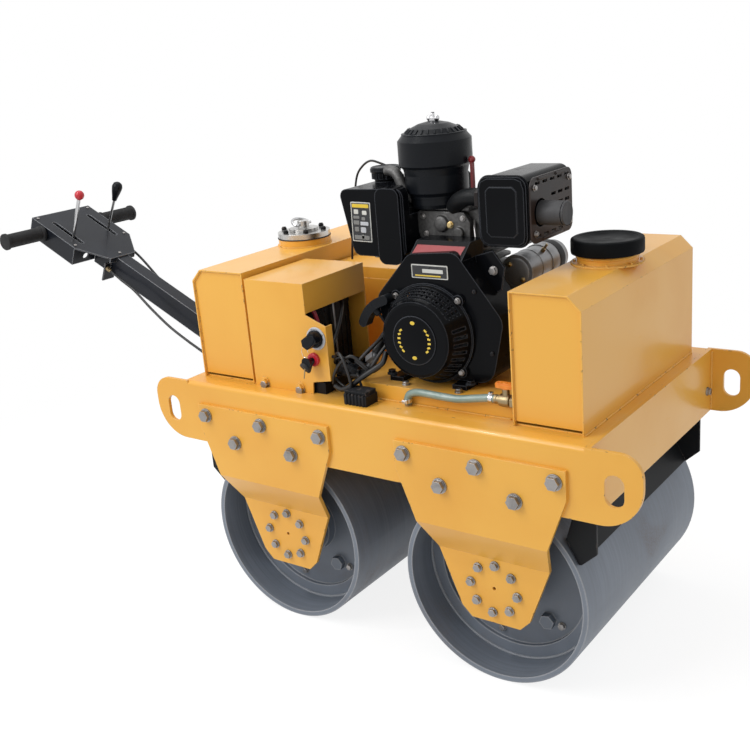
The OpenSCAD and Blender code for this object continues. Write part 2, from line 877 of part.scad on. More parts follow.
module hanger_outline() polygon([
    scraper_low, scraper_high, [cross_in - post_w, frame_z + post_h], [cross_in, frame_z + post_h],
    [cross_in, scraper_low[1] + post_w], [scraper_low[0] + scraper_t, scraper_low[1] + over]
]);

module scrapers() color(black) machine() for (s = [-1, 1]) scale([s, 1, 1]) {
    plate_xz(-scraper_half_w + over, 2 * scraper_half_w - 2 * over) blade_outline();
    for (side = [-1, 1]) on_side(side) plate_xz(-scraper_half_w, scraper_t) hanger_outline();
}

module sprinkler_pipes() color("white") machine() for (s = [-1, 1])
    translate([s * (axle_x + pipe_x), 0, deck_z - pipe_drop]) difference() {
        rod_y(pipe_d, -inner_w + gap, 2 * inner_w - 2 * gap);
        for (k = [0:jet_n - 1]) translate([0, (k / (jet_n - 1) - 0.5) * drum_w * jet_span_share, 0])
            rotate([180, 0, 0]) cylinder(d = jet_d, h = pipe_d);
    }

// Tanks: a wrapped sheet with end plates set in from its edges

module tank_outline(l, h, inset = 0) {
    c = chamfer - inset * tan(22.5);
    polygon([
        [inset, inset], [l - inset, inset], [l - inset, h - inset - c],
        [l - inset - c, h - inset], [inset, h - inset]
    ]);
}

module tank_shell(l, h, base) difference() {
    plate_xz(-tank_half_w, 2 * tank_half_w) tank_outline(l, h);
    translate([0, 0, 0]) plate_xz(-tank_half_w + end_inset + tank_t, 2 * (tank_half_w - end_inset - tank_t))
        tank_outline(l, h, tank_t);
    for (side = [-1, 1]) on_side(side) {
        plate_xz(-tank_half_w - over, end_inset + over) tank_outline(l, h, tank_t);
        translate([tank_t, -tank_half_w - over, -over]) cube([l - 2 * tank_t, end_inset + over + tank_t, base + over]);
    }
}

module water_tank() color(yellow) machine() {
    neck_x = water_x0 + water_l / 2;
    difference() {
        union() {
            translate([water_x0, 0, deck_z]) tank_shell(water_l, water_h, foot_gap);
            translate([neck_x, 0, deck_z + water_h - tank_t]) cylinder(d = neck_d, h = neck_h + tank_t);
            translate([neck_x, 0, deck_z + water_h - over]) cylinder(d = neck_flange_d, h = tank_t + over);
        }
        translate([neck_x, 0, deck_z + water_h - 2 * tank_t]) cylinder(d = neck_d - 2 * neck_t, h = neck_h + 3 * tank_t);
    }
    for (k = [0:neck_screws - 1]) translate([neck_x, 0, deck_z + water_h + tank_t]) rotate(360 * (k + 0.5) / neck_screws)
        translate([(neck_d + neck_flange_d) / 4, 0, -over]) cylinder(d = 2 * tank_t, h = tank_t + over, $fn = 6);
}

module water_cap() color(black) machine() translate([water_x0 + water_l / 2, 0, deck_z + water_h + neck_h + gap])
    rotate_extrude() polygon([
        [0, 0], [neck_d / 2 + cap_t / 2, 0], [neck_d / 2 + cap_t / 2, -cap_skirt],
        [water_cap_d / 2 - cap_t / 2, -cap_skirt], [water_cap_d / 2, -cap_skirt + cap_t / 2],
        [water_cap_d / 2, cap_h - cap_skirt - cap_t], [water_cap_d / 2 - cap_t, cap_h - cap_skirt],
        [water_cap_d / 2 - 3 * cap_t, cap_h - cap_skirt], [water_cap_d / 2 - 4 * cap_t, cap_h - cap_skirt - cap_t],
        [0, cap_h - cap_skirt - cap_t / 2]
    ]);

// Tap at the back of the water tank, its hose and the fitting on the deck

tap_y = -tank_half_w + tap_in;
tap_z = deck_z + tap_rise;
fitting_y = bed_y0 - fitting_gap;

module hose_fittings() color([0.78, 0.66, 0.42]) machine() {
    translate([water_x0 - tap_l, tap_y, tap_z]) rotate([0, 90, 0]) {
        cylinder(d = nipple_d, h = tap_l);
        translate([0, 0, tap_l / 3]) cylinder(d = tap_d, h = tap_l / 3);
        translate([0, 0, tap_l * 0.75]) cylinder(d = tap_d, h = tap_l / 4, $fn = 6);
    }
    translate([water_x0 - tap_l / 2, tap_y, tap_z]) cylinder(d = tap_d * 0.6, h = tap_d);
    translate([fitting_x, fitting_y, deck_z]) cylinder(d = hose_d, h = fitting_h, $fn = 6);
}

module tap_lever() color([0.95, 0.5, 0.1]) machine() translate([water_x0 - tap_l / 2, tap_y, tap_z + tap_d + gap]) {
    cylinder(d = tap_d * 0.7, h = tap_d / 3);
    difference() {
        translate([0, 0, tap_d / 6]) linear_extrude(tap_d / 3) slot(1.7 * tap_d, 0.6 * tap_d);
        for (s = [-1, 1]) translate([s * tap_d * 0.6, 0, 0]) cylinder(d = tap_d / 4, h = tap_d);
    }
}

module water_hose() color([0.45, 0.62, 0.55]) machine() tube(hose_route, hose_d, 3, 10);

// Oil tank with its filler

module oil_tank() color(yellow) machine() difference() {
    union() {
        translate([oil_x1, 0, deck_z]) scale([-1, 1, 1]) tank_shell(oil_l, oil_h, foot_gap);
        translate([(oil_x0 + oil_x1) / 2, filler_y, deck_z + oil_h - tank_t]) cylinder(d = filler_d, h = boss_h + tank_t);
    }
    translate([(oil_x0 + oil_x1) / 2, filler_y, deck_z + oil_h - 2 * tank_t])
        cylinder(d = filler_bore_d, h = boss_h + 3 * tank_t);
}

module at_filler(h) machine() translate([(oil_x0 + oil_x1) / 2, filler_y, deck_z + oil_h + boss_h + h]) children();

module filler_flange() color(zinc) at_filler(0) {
    difference() {
        cylinder(d = filler_d, h = flange_t);
        translate([0, 0, -over]) cylinder(d = filler_bore_d, h = flange_t + 2 * over);
    }
    for (k = [0:filler_bolts - 1]) rotate(360 / filler_bolts * k + 15)
        translate([filler_bolt_pcd / 2, 0, flange_t - over]) cylinder(d = small_bolt_d, h = small_bolt_d / 2 + over);
}

module oil_cap() color(zinc) at_filler(flange_t + gap) {
    translate([0, 0, -flange_t]) cylinder(d = filler_bore_d - 2 * over, h = flange_t + over);
    cylinder(d = oil_cap_d, h = oil_cap_t);
    difference() {
        cylinder(d = 0.4 * oil_cap_d, h = oil_cap_t + 2.5 * ring_wire_d);
        translate([0, 0, oil_cap_t + 1.25 * ring_wire_d]) rod_y(ring_wire_d + 2 * fit, -oil_cap_d, 2 * oil_cap_d);
    }
}

module filler_ring() color(zinc) at_filler(flange_t + gap + oil_cap_t + 1.25 * ring_wire_d) {
    rod_y(ring_wire_d, -ring_r, 2 * ring_r);
    rotate([0, ring_lean, 0]) for (s = [-1, 1]) difference() {
        rotate([0, 0, 0]) rotate_extrude() translate([ring_r, 0]) circle(d = ring_wire_d);
        translate([0, -2 * ring_r, -ring_r]) cube([2 * ring_r, 4 * ring_r, 2 * ring_r]);
    }
}

// Cabinets

module battery_cabinet() color(yellow) machine() {
    top = deck_z + cab_h;
    panel_x = cab_x1 + panel_reach;
    plate_xz(cab_y0, sheet_t) polygon([
        [cab_x0, deck_z], [cab_x1, deck_z], [cab_x1 + sheet_t, deck_z + panel_low - 3 * tank_t],
        [panel_x, deck_z + panel_low], [panel_x, top - panel_top_drop],
        [cab_x1, top - header_h - sheet_t], [cab_x1, top], [cab_x0, top]
    ]);
    plate_xz(cab_y0 + sheet_t - over, panel_return) polygon([
        [panel_x - sheet_t, deck_z + panel_low], [panel_x, deck_z + panel_low],
        [panel_x, top - panel_top_drop], [panel_x - sheet_t, top - panel_top_drop]
    ]);
    translate([cab_x0, cab_y0, top - sheet_t]) cube([cab_l, cab_w, sheet_t]);
    translate([cab_x1 - sheet_t, cab_y0, top - header_h]) cube([sheet_t, cab_w, header_h]);
    translate([cab_x0, cab_y1 - sheet_t, deck_z]) cube([cab_l, sheet_t, cab_h]);
    translate([cab_x0, cab_y0, deck_z]) cube([sheet_t, cab_w, cab_h]);
    for (s = [0, 1]) translate([cab_x0 + cab_l * (0.18 + 0.62 * s), cab_y0, deck_z + tray_h / 2])
        rotate([90, 0, 0]) bolt_head(small_bolt_d);
}

module battery() color(black) machine() {
    tray_l = battery_l + tray_reach;
    tray_w = battery_w + 2 * battery_in;
    translate([cab_x0 + sheet_t + battery_in, cab_y0 + sheet_t + battery_out, deck_z]) {
        difference() {
            cube([tray_l, tray_w, tray_h]);
            translate([sheet_t, sheet_t, sheet_t]) cube([tray_l - 2 * sheet_t, tray_w - 2 * sheet_t, tray_h]);
        }
        translate([sheet_t + gap, battery_in, sheet_t]) {
            cube([battery_l, battery_w, battery_h]);
            for (share = [0.15, 0.85]) translate([battery_l / 2, battery_w * share, battery_h - over])
                cylinder(d = terminal_d, h = terminal_h);
            for (k = [0:cells - 1]) translate([battery_l * 0.2, battery_w * (k + 0.5) / cells, battery_h - over])
                cylinder(d = cell_cap_d, h = cell_cap_h);
        }
    }
}

module hydraulic_cabinet() color(yellow) machine() translate([cab_x0, hyd_y0, deck_z]) difference() {
    w = tank_half_w - hyd_y0;
    union() {
        cube([hyd_l, w, hyd_h]);
        translate([0, -over, 0]) cube([hyd_l + over, w + over, hyd_h - hyd_fold]);
    }
    translate([sheet_t, sheet_t, -over]) cube([hyd_l - 2 * sheet_t, w - 2 * sheet_t, hyd_h - sheet_t + over]);
}

// Controls on the cabinet's panel

module selector_knob() color(black) machine() translate([dial_x, cab_y0 - sheet_t - gap, dial_z]) rotate([90, 0, 0]) {
    cylinder(d = dial_d * 0.7, h = dial_d * 0.2);
    linear_extrude(dial_d * 0.5) intersection() {
        circle(d = dial_d * 0.8);
        rotate(knob_turn) square([dial_d, dial_d * 0.5], center = true);
    }
}

module key_switch() color(zinc) machine() {
    translate([dial_x, cab_y0, dial_z]) rotate([90, 0, 0]) cylinder(d = dial_d, h = sheet_t);
    translate([key_x, cab_y0, key_z]) rotate([90, 0, 0]) difference() {
        cylinder(d = bezel_d, h = 2 * sheet_t);
        translate([0, 0, sheet_t]) cylinder(d = tail_d / 2, h = 2 * sheet_t);
    }
    translate([key_x, cab_y0 + sheet_t, key_z]) rotate([-90, 0, 0]) cylinder(d = bezel_d, h = bezel_d);
    translate([dial_x, cab_y0 + sheet_t, dial_z]) rotate([-90, 0, 0]) cylinder(d = dial_d * 0.7, h = bezel_d);
}

module ignition_key() color(black) machine() translate([key_x, cab_y0 - sheet_t - gap, key_z]) rotate([90, 0, 0]) {
    cylinder(d = tail_d / 2 - over, h = bezel_d / 2);
    translate([0, 0, bezel_d / 2 - over]) cylinder(d1 = tail_d / 2, d2 = bezel_d * 0.9, h = bezel_d * 0.6);
    translate([0, -bezel_d * 0.4, bezel_d * 0.8]) cube([over * 2, bezel_d, bezel_d * 0.3], center = true);
}

module wiring_harness() color(black) machine() {
    tube(harness_route, harness_d, 3, 10);
    tube(loop_route, loop_d, 4);
    tube(lead_route, lead_d, 3);
    tube(vent_route, vent_d, 3);
}

module relay_box() color(black) machine() translate([relay_x, relay_y, deck_z]) {
    cube([relay_l, relay_w, relay_h]);
    for (k = [0:relay_fins - 1]) translate([relay_fin_t + relay_fin_step * k, -relay_fin_out, 0])
        cube([relay_fin_t, relay_w + 2 * relay_fin_out, relay_h + relay_fin_up]);
}

// Engine: everything stands around the crankshaft's axis

module engine() machine() translate([engine_x, 0, crank_z]) children();

module crankcase() color(black) engine() difference() {
    union() {
        plate_xz(case_y0, case_l) {
            translate([-case_w / 2, -crank_h + rail_h]) square([case_w, crank_h - rail_h + case_top / 2]);
            translate([0, case_top - case_w * 0.2]) round_rect(case_w * 0.8, case_w * 0.4, case_w * 0.08);
            circle(case_top);
        }
        for (s = [-1, 1]) translate([s * (case_w / 2 - rail_w / 2) - rail_w / 2, rail_y0, -crank_h])
            cube([rail_w, case_y0 + case_l - rail_y0, rail_h]);
        rod_y(case_w * 0.62, case_y0 + case_l - over, rail_h);
        for (s = [-1, 1], y = [rail_y0 + washer_t + small_bolt_d, case_y0 + case_l - rail_w / 2])
            translate([s * (case_w / 2 + rail_w * 0.1), y, -crank_h + rail_h]) bolt_head(small_bolt_d);
    }
    rod_y(crank_d + 2 * fit, case_y0 - over, case_l + rail_h + 2 * over);
}

module cylinder_head() color(cast_grey) engine() {
    head_z = head_top - rocker_h;
    fin_step = (head_z - case_top) / fin_n;
    translate([0, head_y, case_top]) cylinder(d = barrel_d, h = head_z - case_top + over);
    for (k = [0:fin_n - 1]) translate([0, head_y, case_top + fin_step * (k + 0.5)]) linear_extrude(fin_t)
        round_rect(fin_w, fin_w, fin_w / 5);
    translate([head_x, head_y, head_z]) linear_extrude(rocker_h * 0.62) round_rect(head_w, head_d, rocker_h / 4);
    translate([head_x, head_y, head_z + rocker_h * 0.6]) linear_extrude(rocker_h * 0.4 + over)
        round_rect(head_w * 0.86, head_d * 0.84, rocker_h / 4);
    for (sx = [-1, 1], sy = [-1, 1])
        translate([head_x + sx * head_w * 0.36, head_y + sy * head_d * 0.36, head_top - washer_t])
            bolt_head(small_bolt_d * 0.6, false);
    translate([lever_base_x - lever_base_t, lever_base_y - lever_base_t, head_top - over])
        cube([lever_base_t - gap, 2 * lever_base_t, lever_base_h]);
    intake_arm();
}

// Cast arm that carries the air cleaner
module intake_arm() {
    base = cleaner_z - crank_z;
    translate([cleaner_x - engine_x, cleaner_y, head_top]) cylinder(d = barrel_d * 0.6, h = base - head_top);
}

// Rounded corners of the shroud, as shares of the recoil starter's root radius: X, Z and radius
shroud_shares = [
    [-0.951, 0.583, 0.291], [-0.272, 1.32, 0.291], [0.544, 1.359, 0.311],
    [1.34, 0.291, 0.33], [1.087, -0.544, 0.388], [-0.621, -0.544, 0.388]
];

module shroud_outline() hull() for (c = shroud_shares)
    translate(recoil_root_r * [c[0], c[1]]) circle(r = recoil_root_r * c[2], $fn = 32);

module fan_shroud() color(black) engine() {
    difference() {
        plate_xz(shroud_y, shroud_l) shroud_outline();
        plate_xz(shroud_y + shroud_t, shroud_l) offset(delta = -shroud_t) shroud_outline();
        rod_y(2 * recoil_root_r - 4 * shroud_t, shroud_y - over, 4 * shroud_t);
    }
    bar_yz(crown_x, crown_l) polygon([
        [shroud_y, crown_low], [shroud_y, crown_lip], [shroud_y + crown_run, crown_top],
        [shroud_y + crown_w, crown_top], [shroud_y + crown_w, crown_low]
    ]);
}

// Dished recoil housing with rings of slots, and four ears for its bolts
module recoil_housing() color(black) engine() difference() {
    rim_r = recoil_root_r + recoil_rim;
    union() {
        turned_y(0, 0) polygon([
            [0, face_y], [recoil_face_r - face_step, face_y], [recoil_face_r - face_chamfer, face_y + face_chamfer],
            [recoil_face_r, face_y + face_step], [recoil_root_r, shroud_y - 2 * recoil_t],
            [rim_r, shroud_y - 2 * recoil_t], [rim_r, shroud_y], [recoil_root_r - recoil_t, shroud_y],
            [recoil_root_r - recoil_t, shroud_y - 2 * recoil_t],
            [recoil_face_r - recoil_t, face_y + face_step + face_chamfer / 2],
            [recoil_face_r - face_step, face_y + recoil_t], [0, face_y + recoil_t]
        ]);
        for (k = [0:3]) rotate([0, 90 * k + 45, 0]) rod_y(recoil_ear_d, shroud_y - recoil_ear_t, recoil_ear_t, rim_r);
    }
    rod_y(2 * (recoil_root_r - recoil_t), shroud_y - 2 * recoil_t, 3 * recoil_t);
    for (a = louvre_angles) rotate([0, -a, 0]) translate([recoil_face_r - louvre_w, face_y + recoil_l / 4, -louvre_w / 2])
        cube([recoil_l, recoil_l / 2, louvre_w]);
    translate([rope_x, rope_y, rope_z]) rotate([0, -rope_lean, 0]) translate([0, 0, -rope_inside / 2])
        cylinder(d = rope_d + 2 * over, h = rope_inside);
}

module flywheel_fan() color(zinc) engine() {
    fan_y = shroud_y + flywheel_t;
    rod_y(crank_d, fan_y - over, case_y0 + case_l + rail_h + pump_bell_l / 2 - fan_y);
    rod_y(2 * flywheel_r, fan_y, flywheel_t);
    rod_y(flywheel_r, fan_y - blade_h, blade_h + over);
    for (k = [0:blade_n - 1]) rotate([0, 360 * k / blade_n, 0]) translate([flywheel_r * 0.44, fan_y - blade_h, -fin_t / 2])
        cube([flywheel_r * 0.5, blade_h + over, fin_t]);
}

module at_rope() engine() translate([rope_x, rope_y, rope_z]) rotate([0, -rope_lean, 0]) children();

module recoil_grip() color(black) {
    at_rope() translate([0, 0, -rope_inside]) cylinder(d = rope_d, h = rope_inside + rope_out + over);
    at_rope() translate([0, 0, rope_out]) cylinder(d1 = 2.4 * rope_d, d2 = 3.4 * rope_d, h = grip_stem);
    at_rope() translate([0, grip_w / 2, rope_out + grip_stem - grip_arc_r]) rotate([90, 0, 0]) linear_extrude(grip_w) {
        intersection() {
            difference() {
                circle(grip_arc_r + grip_t / 2);
                circle(grip_arc_r - grip_t / 2);
            }
            polygon([[0, 0], [-grip_arc_r, 2 * grip_arc_r], [grip_arc_r, 2 * grip_arc_r]]);
        }
        for (s = [-1, 1]) rotate(-s * atan(0.5)) translate([0, grip_arc_r]) circle(d = grip_t);
    }
}

module air_cleaner_bowl() color(black) machine() translate([cleaner_x, cleaner_y, cleaner_z]) {
    r = cleaner_d / 2;
    seam = cleaner_h * 0.48;
    rotate_extrude() polygon([
        [0, 0], [r * 0.72, 0], [r * 0.76, seam * 0.1], [r * 0.76, seam * 0.28], [r * 0.86, seam * 0.4],
        [r * 0.86, seam * 0.82], [r * 0.9, seam], [0, seam]
    ]);
}

module air_cleaner_lid() color(black) machine() translate([cleaner_x, cleaner_y, cleaner_z + cleaner_h * 0.48]) {
    r = cleaner_d / 2;
    h = cleaner_h * 0.52;
    rotate_extrude() polygon([
        [0, 0], [r * 0.94, 0], [r, h * 0.06], [r, h * 0.6], [r * 0.88, h * 0.72], [r * 0.88, h * 0.76],
        [r * 0.8, h * 0.75], [r * 0.66, h * 0.86], [r * 0.42, h * 0.95], [r * 0.16, h], [0, h]
    ]);
    for (k = [0:2]) rotate(120 * k + 20) translate([0, -r * 0.06, h * 0.7])
        cube([r * 0.84, r * 0.12, h * 0.08]);
    translate([0, 0, h - over]) cylinder(d = stud_d, h = stud_h);
    for (s = [-1, 1]) translate([s * wing_out, 0, h + wing_d / 2]) sphere(d = wing_d);
    translate([0, 0, h - over]) cylinder(d = nut_d, h = nut_h);
}

module fuel_outline() hull() {
    translate([tank_x0 + fuel_top_r, fuel_h - band_r]) circle(r = fuel_top_r, $fn = 32);
    translate([tank_x0 + fuel_low_r + fuel_slant, fuel_low_r]) circle(r = fuel_low_r, $fn = 32);
    translate([tank_x1 - fuel_low_r, fuel_low_r]) circle(r = fuel_low_r, $fn = 32);
    translate([tank_x1 - band_r, fuel_h - band_r]) circle(r = band_r, $fn = 32);
}

module band_outline() hull() for (s = [-1, 1], z = [band_low, fuel_h - fuel_top_r])
    translate([s * band_w / 2, z]) circle(r = band_r, $fn = 32);

module fuel_tank() color(black) machine() translate([0, 0, fuel_z]) difference() {
    bracket_h = fuel_z - crank_z - case_top / 2 + washer_t;
    union() {
        plate_xz(tank_y0, fuel_l) fuel_outline();
        plate_xz(tank_y0 - band_out, band_l) translate([band_x, 0]) band_outline();
        translate([fuel_neck_x, fuel_neck_y, fuel_h - fuel_neck_t])
            cylinder(d = fuel_cap_d * 0.8, h = fuel_neck_h + fuel_neck_t);
        for (y = [bracket_y0, bracket_y1]) translate([engine_x - case_w / 2 + washer_t, y, washer_t - bracket_h])
            cube([bracket_w / 2, bracket_w, bracket_h]);
    }
    translate([cleaner_x, cleaner_y, cleaner_z - fuel_z - recess_clear])
        cylinder(d = 0.86 * cleaner_d + 2 * recess_clear, h = fuel_h);
    translate([fuel_neck_x, fuel_neck_y, fuel_h - fuel_pit_h])
        cylinder(d = fuel_cap_d * 0.6, h = fuel_pit_h + fuel_neck_h + over);
}

module fuel_cap() color(black) machine() translate([fuel_neck_x, fuel_neck_y, fuel_z + fuel_h + fuel_neck_h + gap]) {
    difference() {
        cylinder(d = fuel_cap_d, h = fuel_cap_h);
        for (k = [0:fuel_grips - 1]) rotate(360 / fuel_grips * k) translate([fuel_cap_d / 2 + over, 0, -over])
            cylinder(d = fuel_grip_d, h = fuel_cap_h + 2 * over);
    }
    translate([0, 0, -fuel_plug_h]) cylinder(d = fuel_cap_d * 0.6 - 2 * over, h = fuel_plug_h + over);
}

module at_muffler() machine() translate([muffler_x, muffler_y, muffler_z]) children();

// Height of the muffler's outlet and inlet, as shares of its height
outlet_share = 0.45;
inlet_share = 0.2;

module muffler() color(black) at_muffler() {
    plate_xz(0, muffler_l) translate([muffler_w / 2, muffler_h / 2]) round_rect(muffler_w, muffler_h, muffler_r);
    translate([muffler_w - stub_pipe_in, stub_pipe_y, muffler_h * outlet_share]) rotate([0, 90, 0]) difference() {
        cylinder(d = stub_pipe_d, h = stub_pipe_l + stub_pipe_in);
        translate([0, 0, stub_floor]) cylinder(d = stub_pipe_d - 2 * stub_pipe_t, h = stub_pipe_l + stub_pipe_in);
    }
    inlet_l = muffler_x - engine_x - head_x - head_w / 2;
    translate([-inlet_l, muffler_l / 2, muffler_h * inlet_share]) rotate([0, 90, 0])
        cylinder(d = inlet_d, h = inlet_l + over);
}

module grille(places, rows) for (y = places, z = rows)
    translate([-over, y, z]) cube([guard_t + 2 * over, grille_l, grille_h]);

module muffler_guard() color(black) at_muffler() translate([muffler_w + guard_gap, 0, 0]) difference() {
    union() {
        bar_yz(0, guard_t) translate([muffler_l / 2, muffler_h / 2])
            round_rect(muffler_l - guard_in, muffler_h - guard_in, muffler_r - guard_in / 4);
        for (y = [guard_post_in, muffler_l - guard_post_in], z = [guard_post_up, muffler_h - guard_post_up])
            translate([-guard_gap, y, z]) rotate([0, 90, 0]) cylinder(d = guard_post_d, h = guard_gap + over);
    }
    translate([-guard_gap - over, stub_pipe_y, muffler_h * outlet_share]) rotate([0, 90, 0])
        cylinder(d = stub_pipe_d + 2 * guard_gap, h = 3 * guard_gap);
    grille([for (k = [0:4]) grille_x + grille_pitch * k], [grille_low, muffler_h - grille_high]);
    grille([for (k = [0:2]) vent_y + vent_pitch * k], [for (k = [0:2]) vent_z + grille_l * k]);
}

module starter_motor() color(zinc) engine() {
    nose_l = starter_l * 0.55;
    body_l = starter_l * 0.33;
    rod_y(starter_d, starter_y, nose_l, starter_x, starter_h);
    rod_y(starter_d + starter_step, starter_y + nose_l - over, body_l, starter_x, starter_h);
    rod_y(starter_d - 2 * starter_step, starter_y + nose_l + body_l - 2 * over, starter_l * 0.12, starter_x, starter_h);
    translate([starter_x - starter_d / 2, starter_y + starter_foot_y, case_top / 2])
        cube([starter_d / 3 - 2 * washer_t, starter_foot_l, starter_h - case_top / 2]);
}

module hydraulic_pump() color(cast_grey) engine() {
    y0 = case_y0 + case_l + rail_h;
    difference() {
        union() {
            rod_y(case_w * 0.62, y0, pump_bell_l);
            rod_y(pump_d, y0 + pump_bell_l - over, pump_l);
            translate([-pump_d / 2, y0 + pump_bell_l + pump_block_y, -pump_d * 0.7])
                cube([pump_d, pump_block_l, pump_d * 0.9]);
        }
        rod_y(crank_d + 2 * fit, y0 - over, pump_bell_l / 2 + 2 * over);
    }
}

module decompression_lever() color([0.7, 0.1, 0.08]) engine()
    translate([lever_base_x, lever_base_y, head_top + lever_base_h / 2]) {
        rotate([0, 90, 0]) cylinder(d = lever_base_h * 0.8, h = relief_t);
        translate([0, -relief_w / 2, 0]) cube([relief_t, relief_w, relief_h]);
        translate([relief_t / 2, 0, relief_h]) ball(relief_w * 0.75);
    }

// Handle, drawn along its own axis from the pivot towards -X

module on_handle() machine() translate([-pivot_back, 0, pivot_z]) rotate([0, handle_tilt, 0]) children();

module handle_beam() color(black) on_handle() difference() {
    front_wall = -handle_l + head_l;
    union() {
        difference() {
            bar_yz(front_wall, -front_wall) square([beam_w, beam_h], center = true);
            bar_yz(front_wall + 4 * sheet_t, -front_wall - 8 * sheet_t)
                square([beam_w - 2 * sheet_t, beam_h - 2 * sheet_t], center = true);
        }
        rod_y(beam_h, -beam_w / 2, beam_w);
        translate([bracket_x, -beam_w / 2 - bracket_reach, -beam_h / 2 - bracket_reach])
            cube([head_t, bracket_reach + over, beam_h / 2 + bracket_reach + head_t]);
        translate([bracket_x, -beam_w / 2 - bracket_reach, -beam_h / 2 - bracket_reach])
            cube([head_t, bracket_reach + beam_w / 2, bracket_reach + over]);
    }
    rod_y(pin_d + 2 * fit, -beam_w, 2 * beam_w);
}

// Two cheeks and the pin that a lever turns on
module lever_bracket() {
    inner = lever_disc_t / 2 + gap;
    rod_y(lever_pin_d, -inner - head_t, 2 * (inner + head_t));
    for (e = [-1, 1]) translate([-lever_rod_d, e * (inner + head_t / 2) - head_t / 2, -lever_rod_d])
        cube([2 * lever_rod_d, head_t, plate_z - head_t + over - lever_z + lever_rod_d]);
}

module head_outline() {
    half = [[-handle_l, head_half_w], [-handle_l + head_l, head_half_w], [-handle_l + head_l + nose_l, nose_half_w]];
    polygon(concat(half, [for (i = [2:-1:0]) [half[i][0], -half[i][1]]]));
}

module control_head() color(black) on_handle() difference() {
    z0 = plate_z - head_depth;
    wall = head_t;
    union() {
        translate([0, 0, plate_z - head_t]) linear_extrude(head_t) head_outline();
        difference() {
            translate([-handle_l, -head_half_w, z0]) cube([head_l, 2 * head_half_w, head_depth]);
            translate([-handle_l + wall, -head_half_w + wall, z0 - over])
                cube([head_l - 2 * wall, 2 * (head_half_w - wall), head_depth - wall + over]);
        }
        translate([-handle_l + head_l + nose_l - wall, -nose_half_w, plate_z - 4 * wall])
            cube([wall, 2 * nose_half_w, 4 * wall]);
        for (s = [-1, 1]) translate([lever_x, s * lever_y, lever_z]) lever_bracket();
    }
    for (s = [-1, 1]) translate([-handle_l + lever_slot_in + lever_slot_l / 2, s * lever_y, plate_z - 2 * head_t])
        linear_extrude(3 * head_t) slot(lever_slot_l, lever_slot_w);
    rod_y(bar_d + 2 * fit, -2 * head_half_w, 4 * head_half_w, bar_x, bar_z);
    translate([-handle_l + head_l - 2 * wall, -beam_w / 2 - gap, -beam_h / 2 - gap])
        cube([nose_l + 3 * wall, beam_w + 2 * gap, beam_h + gap]);
    for (s = [-1, 1]) translate([-handle_l + head_l, s * lever_y * 0.9, lever_z + cable_hole_rise]) rotate([0, 90, 0])
        cylinder(d = cable_hole_d, h = 4 * wall, center = true);
}

module handle_bar() color(black) on_handle() difference() {
    rod_y(bar_d, -grip_reach + grip_end, 2 * (grip_reach - grip_end), bar_x, bar_z);
    rod_y(bar_d - 2 * sheet_t, -grip_reach, 2 * grip_reach, bar_x, bar_z);
}

module handle_grips() color(black) on_handle() for (side = [-1, 1]) on_side(side)
    translate([bar_x, 0, bar_z]) rotate([-90, 0, 0]) rotate_extrude() {
        inner = -head_half_w - head_t;
        rim_r = grip_d / 2 + grip_rim;
        polygon([
            [0, -grip_reach], [rim_r - over, -grip_reach], [rim_r, -grip_reach + over], [rim_r, -grip_reach + grip_rim_l],
            [grip_d / 2, -grip_reach + grip_rim_l + grip_fade], [grip_d / 2, inner - grip_rim_l - grip_fade],
            [rim_r, inner - grip_rim_l], [rim_r, inner], [bar_d / 2 + fit, inner],
            [bar_d / 2 + fit, -grip_reach + grip_end - gap], [0, -grip_reach + grip_end - gap]
        ]);
    }

module control_cables() color(black) machine() for (route = [near_cable, across(far_cable)])
    tube(route, cable_d, 3);

module lever_pivot(s) on_handle() translate([lever_x, s * lever_y, lever_z]) children();

module lever_disc() rod_y(lever_disc_d, -lever_disc_t / 2, lever_disc_t);
module lever_bore() rod_y(lever_pin_d + 2 * fit, -lever_disc_t, 2 * lever_disc_t);

module travel_lever() color(zinc) lever_pivot(-1) difference() {
    top = plate_z - lever_z + lever_rise;
    union() {
        lever_disc();
        rotate_extrude() polygon(concat(
            [[0, 0], [lever_rod_d / 2, 0]],
            [for (a = [-66:12:78]) [ball_r * cos(a), top + ball_r * sin(a)]],
            [[0, top + ball_r]]
        ));
    }
    lever_bore();
}

module throttle_lever() color(black) lever_pivot(1) rotate([0, throttle_lean, 0]) difference() {
    knob_z = plate_z - lever_z + lever_rise + throttle_more - knob_in;
    union() {
        lever_disc();
        cylinder(d = lever_rod_d * 0.8, h = knob_z + knob_lap);
        translate([0, 0, knob_z]) rotate_extrude() polygon([for (p = knob_shares) [p[0] * knob_d / 2, p[1] * knob_l]]);
    }
    lever_bore();
}

right_side_plate();
left_side_plate();
deck();
front_cross_plate();
rear_cross_plate();
engine_bed();
front_supports();
rear_supports();
support_bolts();
bearing_carriers();
drum_bearings();
drive_motors();
vibration_motor();
scrapers();
sprinkler_pipes();
water_tank();
water_hose();
hose_fittings();
oil_tank();
filler_flange();
battery_cabinet();
battery();
hydraulic_cabinet();
key_switch();
wiring_harness();
relay_box();
crankcase();
cylinder_head();
fan_shroud();
recoil_housing();
air_cleaner_bowl();
air_cleaner_lid();
fuel_tank();
muffler();
muffler_guard();
starter_motor();
hydraulic_pump();
handle_pin();
front_drum();
front_drive_hub();
rear_drum();
rear_drive_hub();
eccentric_shaft();
flywheel_fan();
handle_beam();
control_head();
handle_bar();
handle_grips();
control_cables();
travel_lever();
throttle_lever();
water_cap();
tap_lever();
oil_cap();
filler_ring();
fuel_cap();
selector_knob();
ignition_key();
recoil_grip();
decompression_lever();
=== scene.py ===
"""Looks of a walk-behind double-drum roller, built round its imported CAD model.

Lengths are in millimetres of the machine's own frame: X forward from midway between the axles,
Y to the left from the middle and Z up from the ground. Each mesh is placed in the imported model's
frame, in metres.
"""

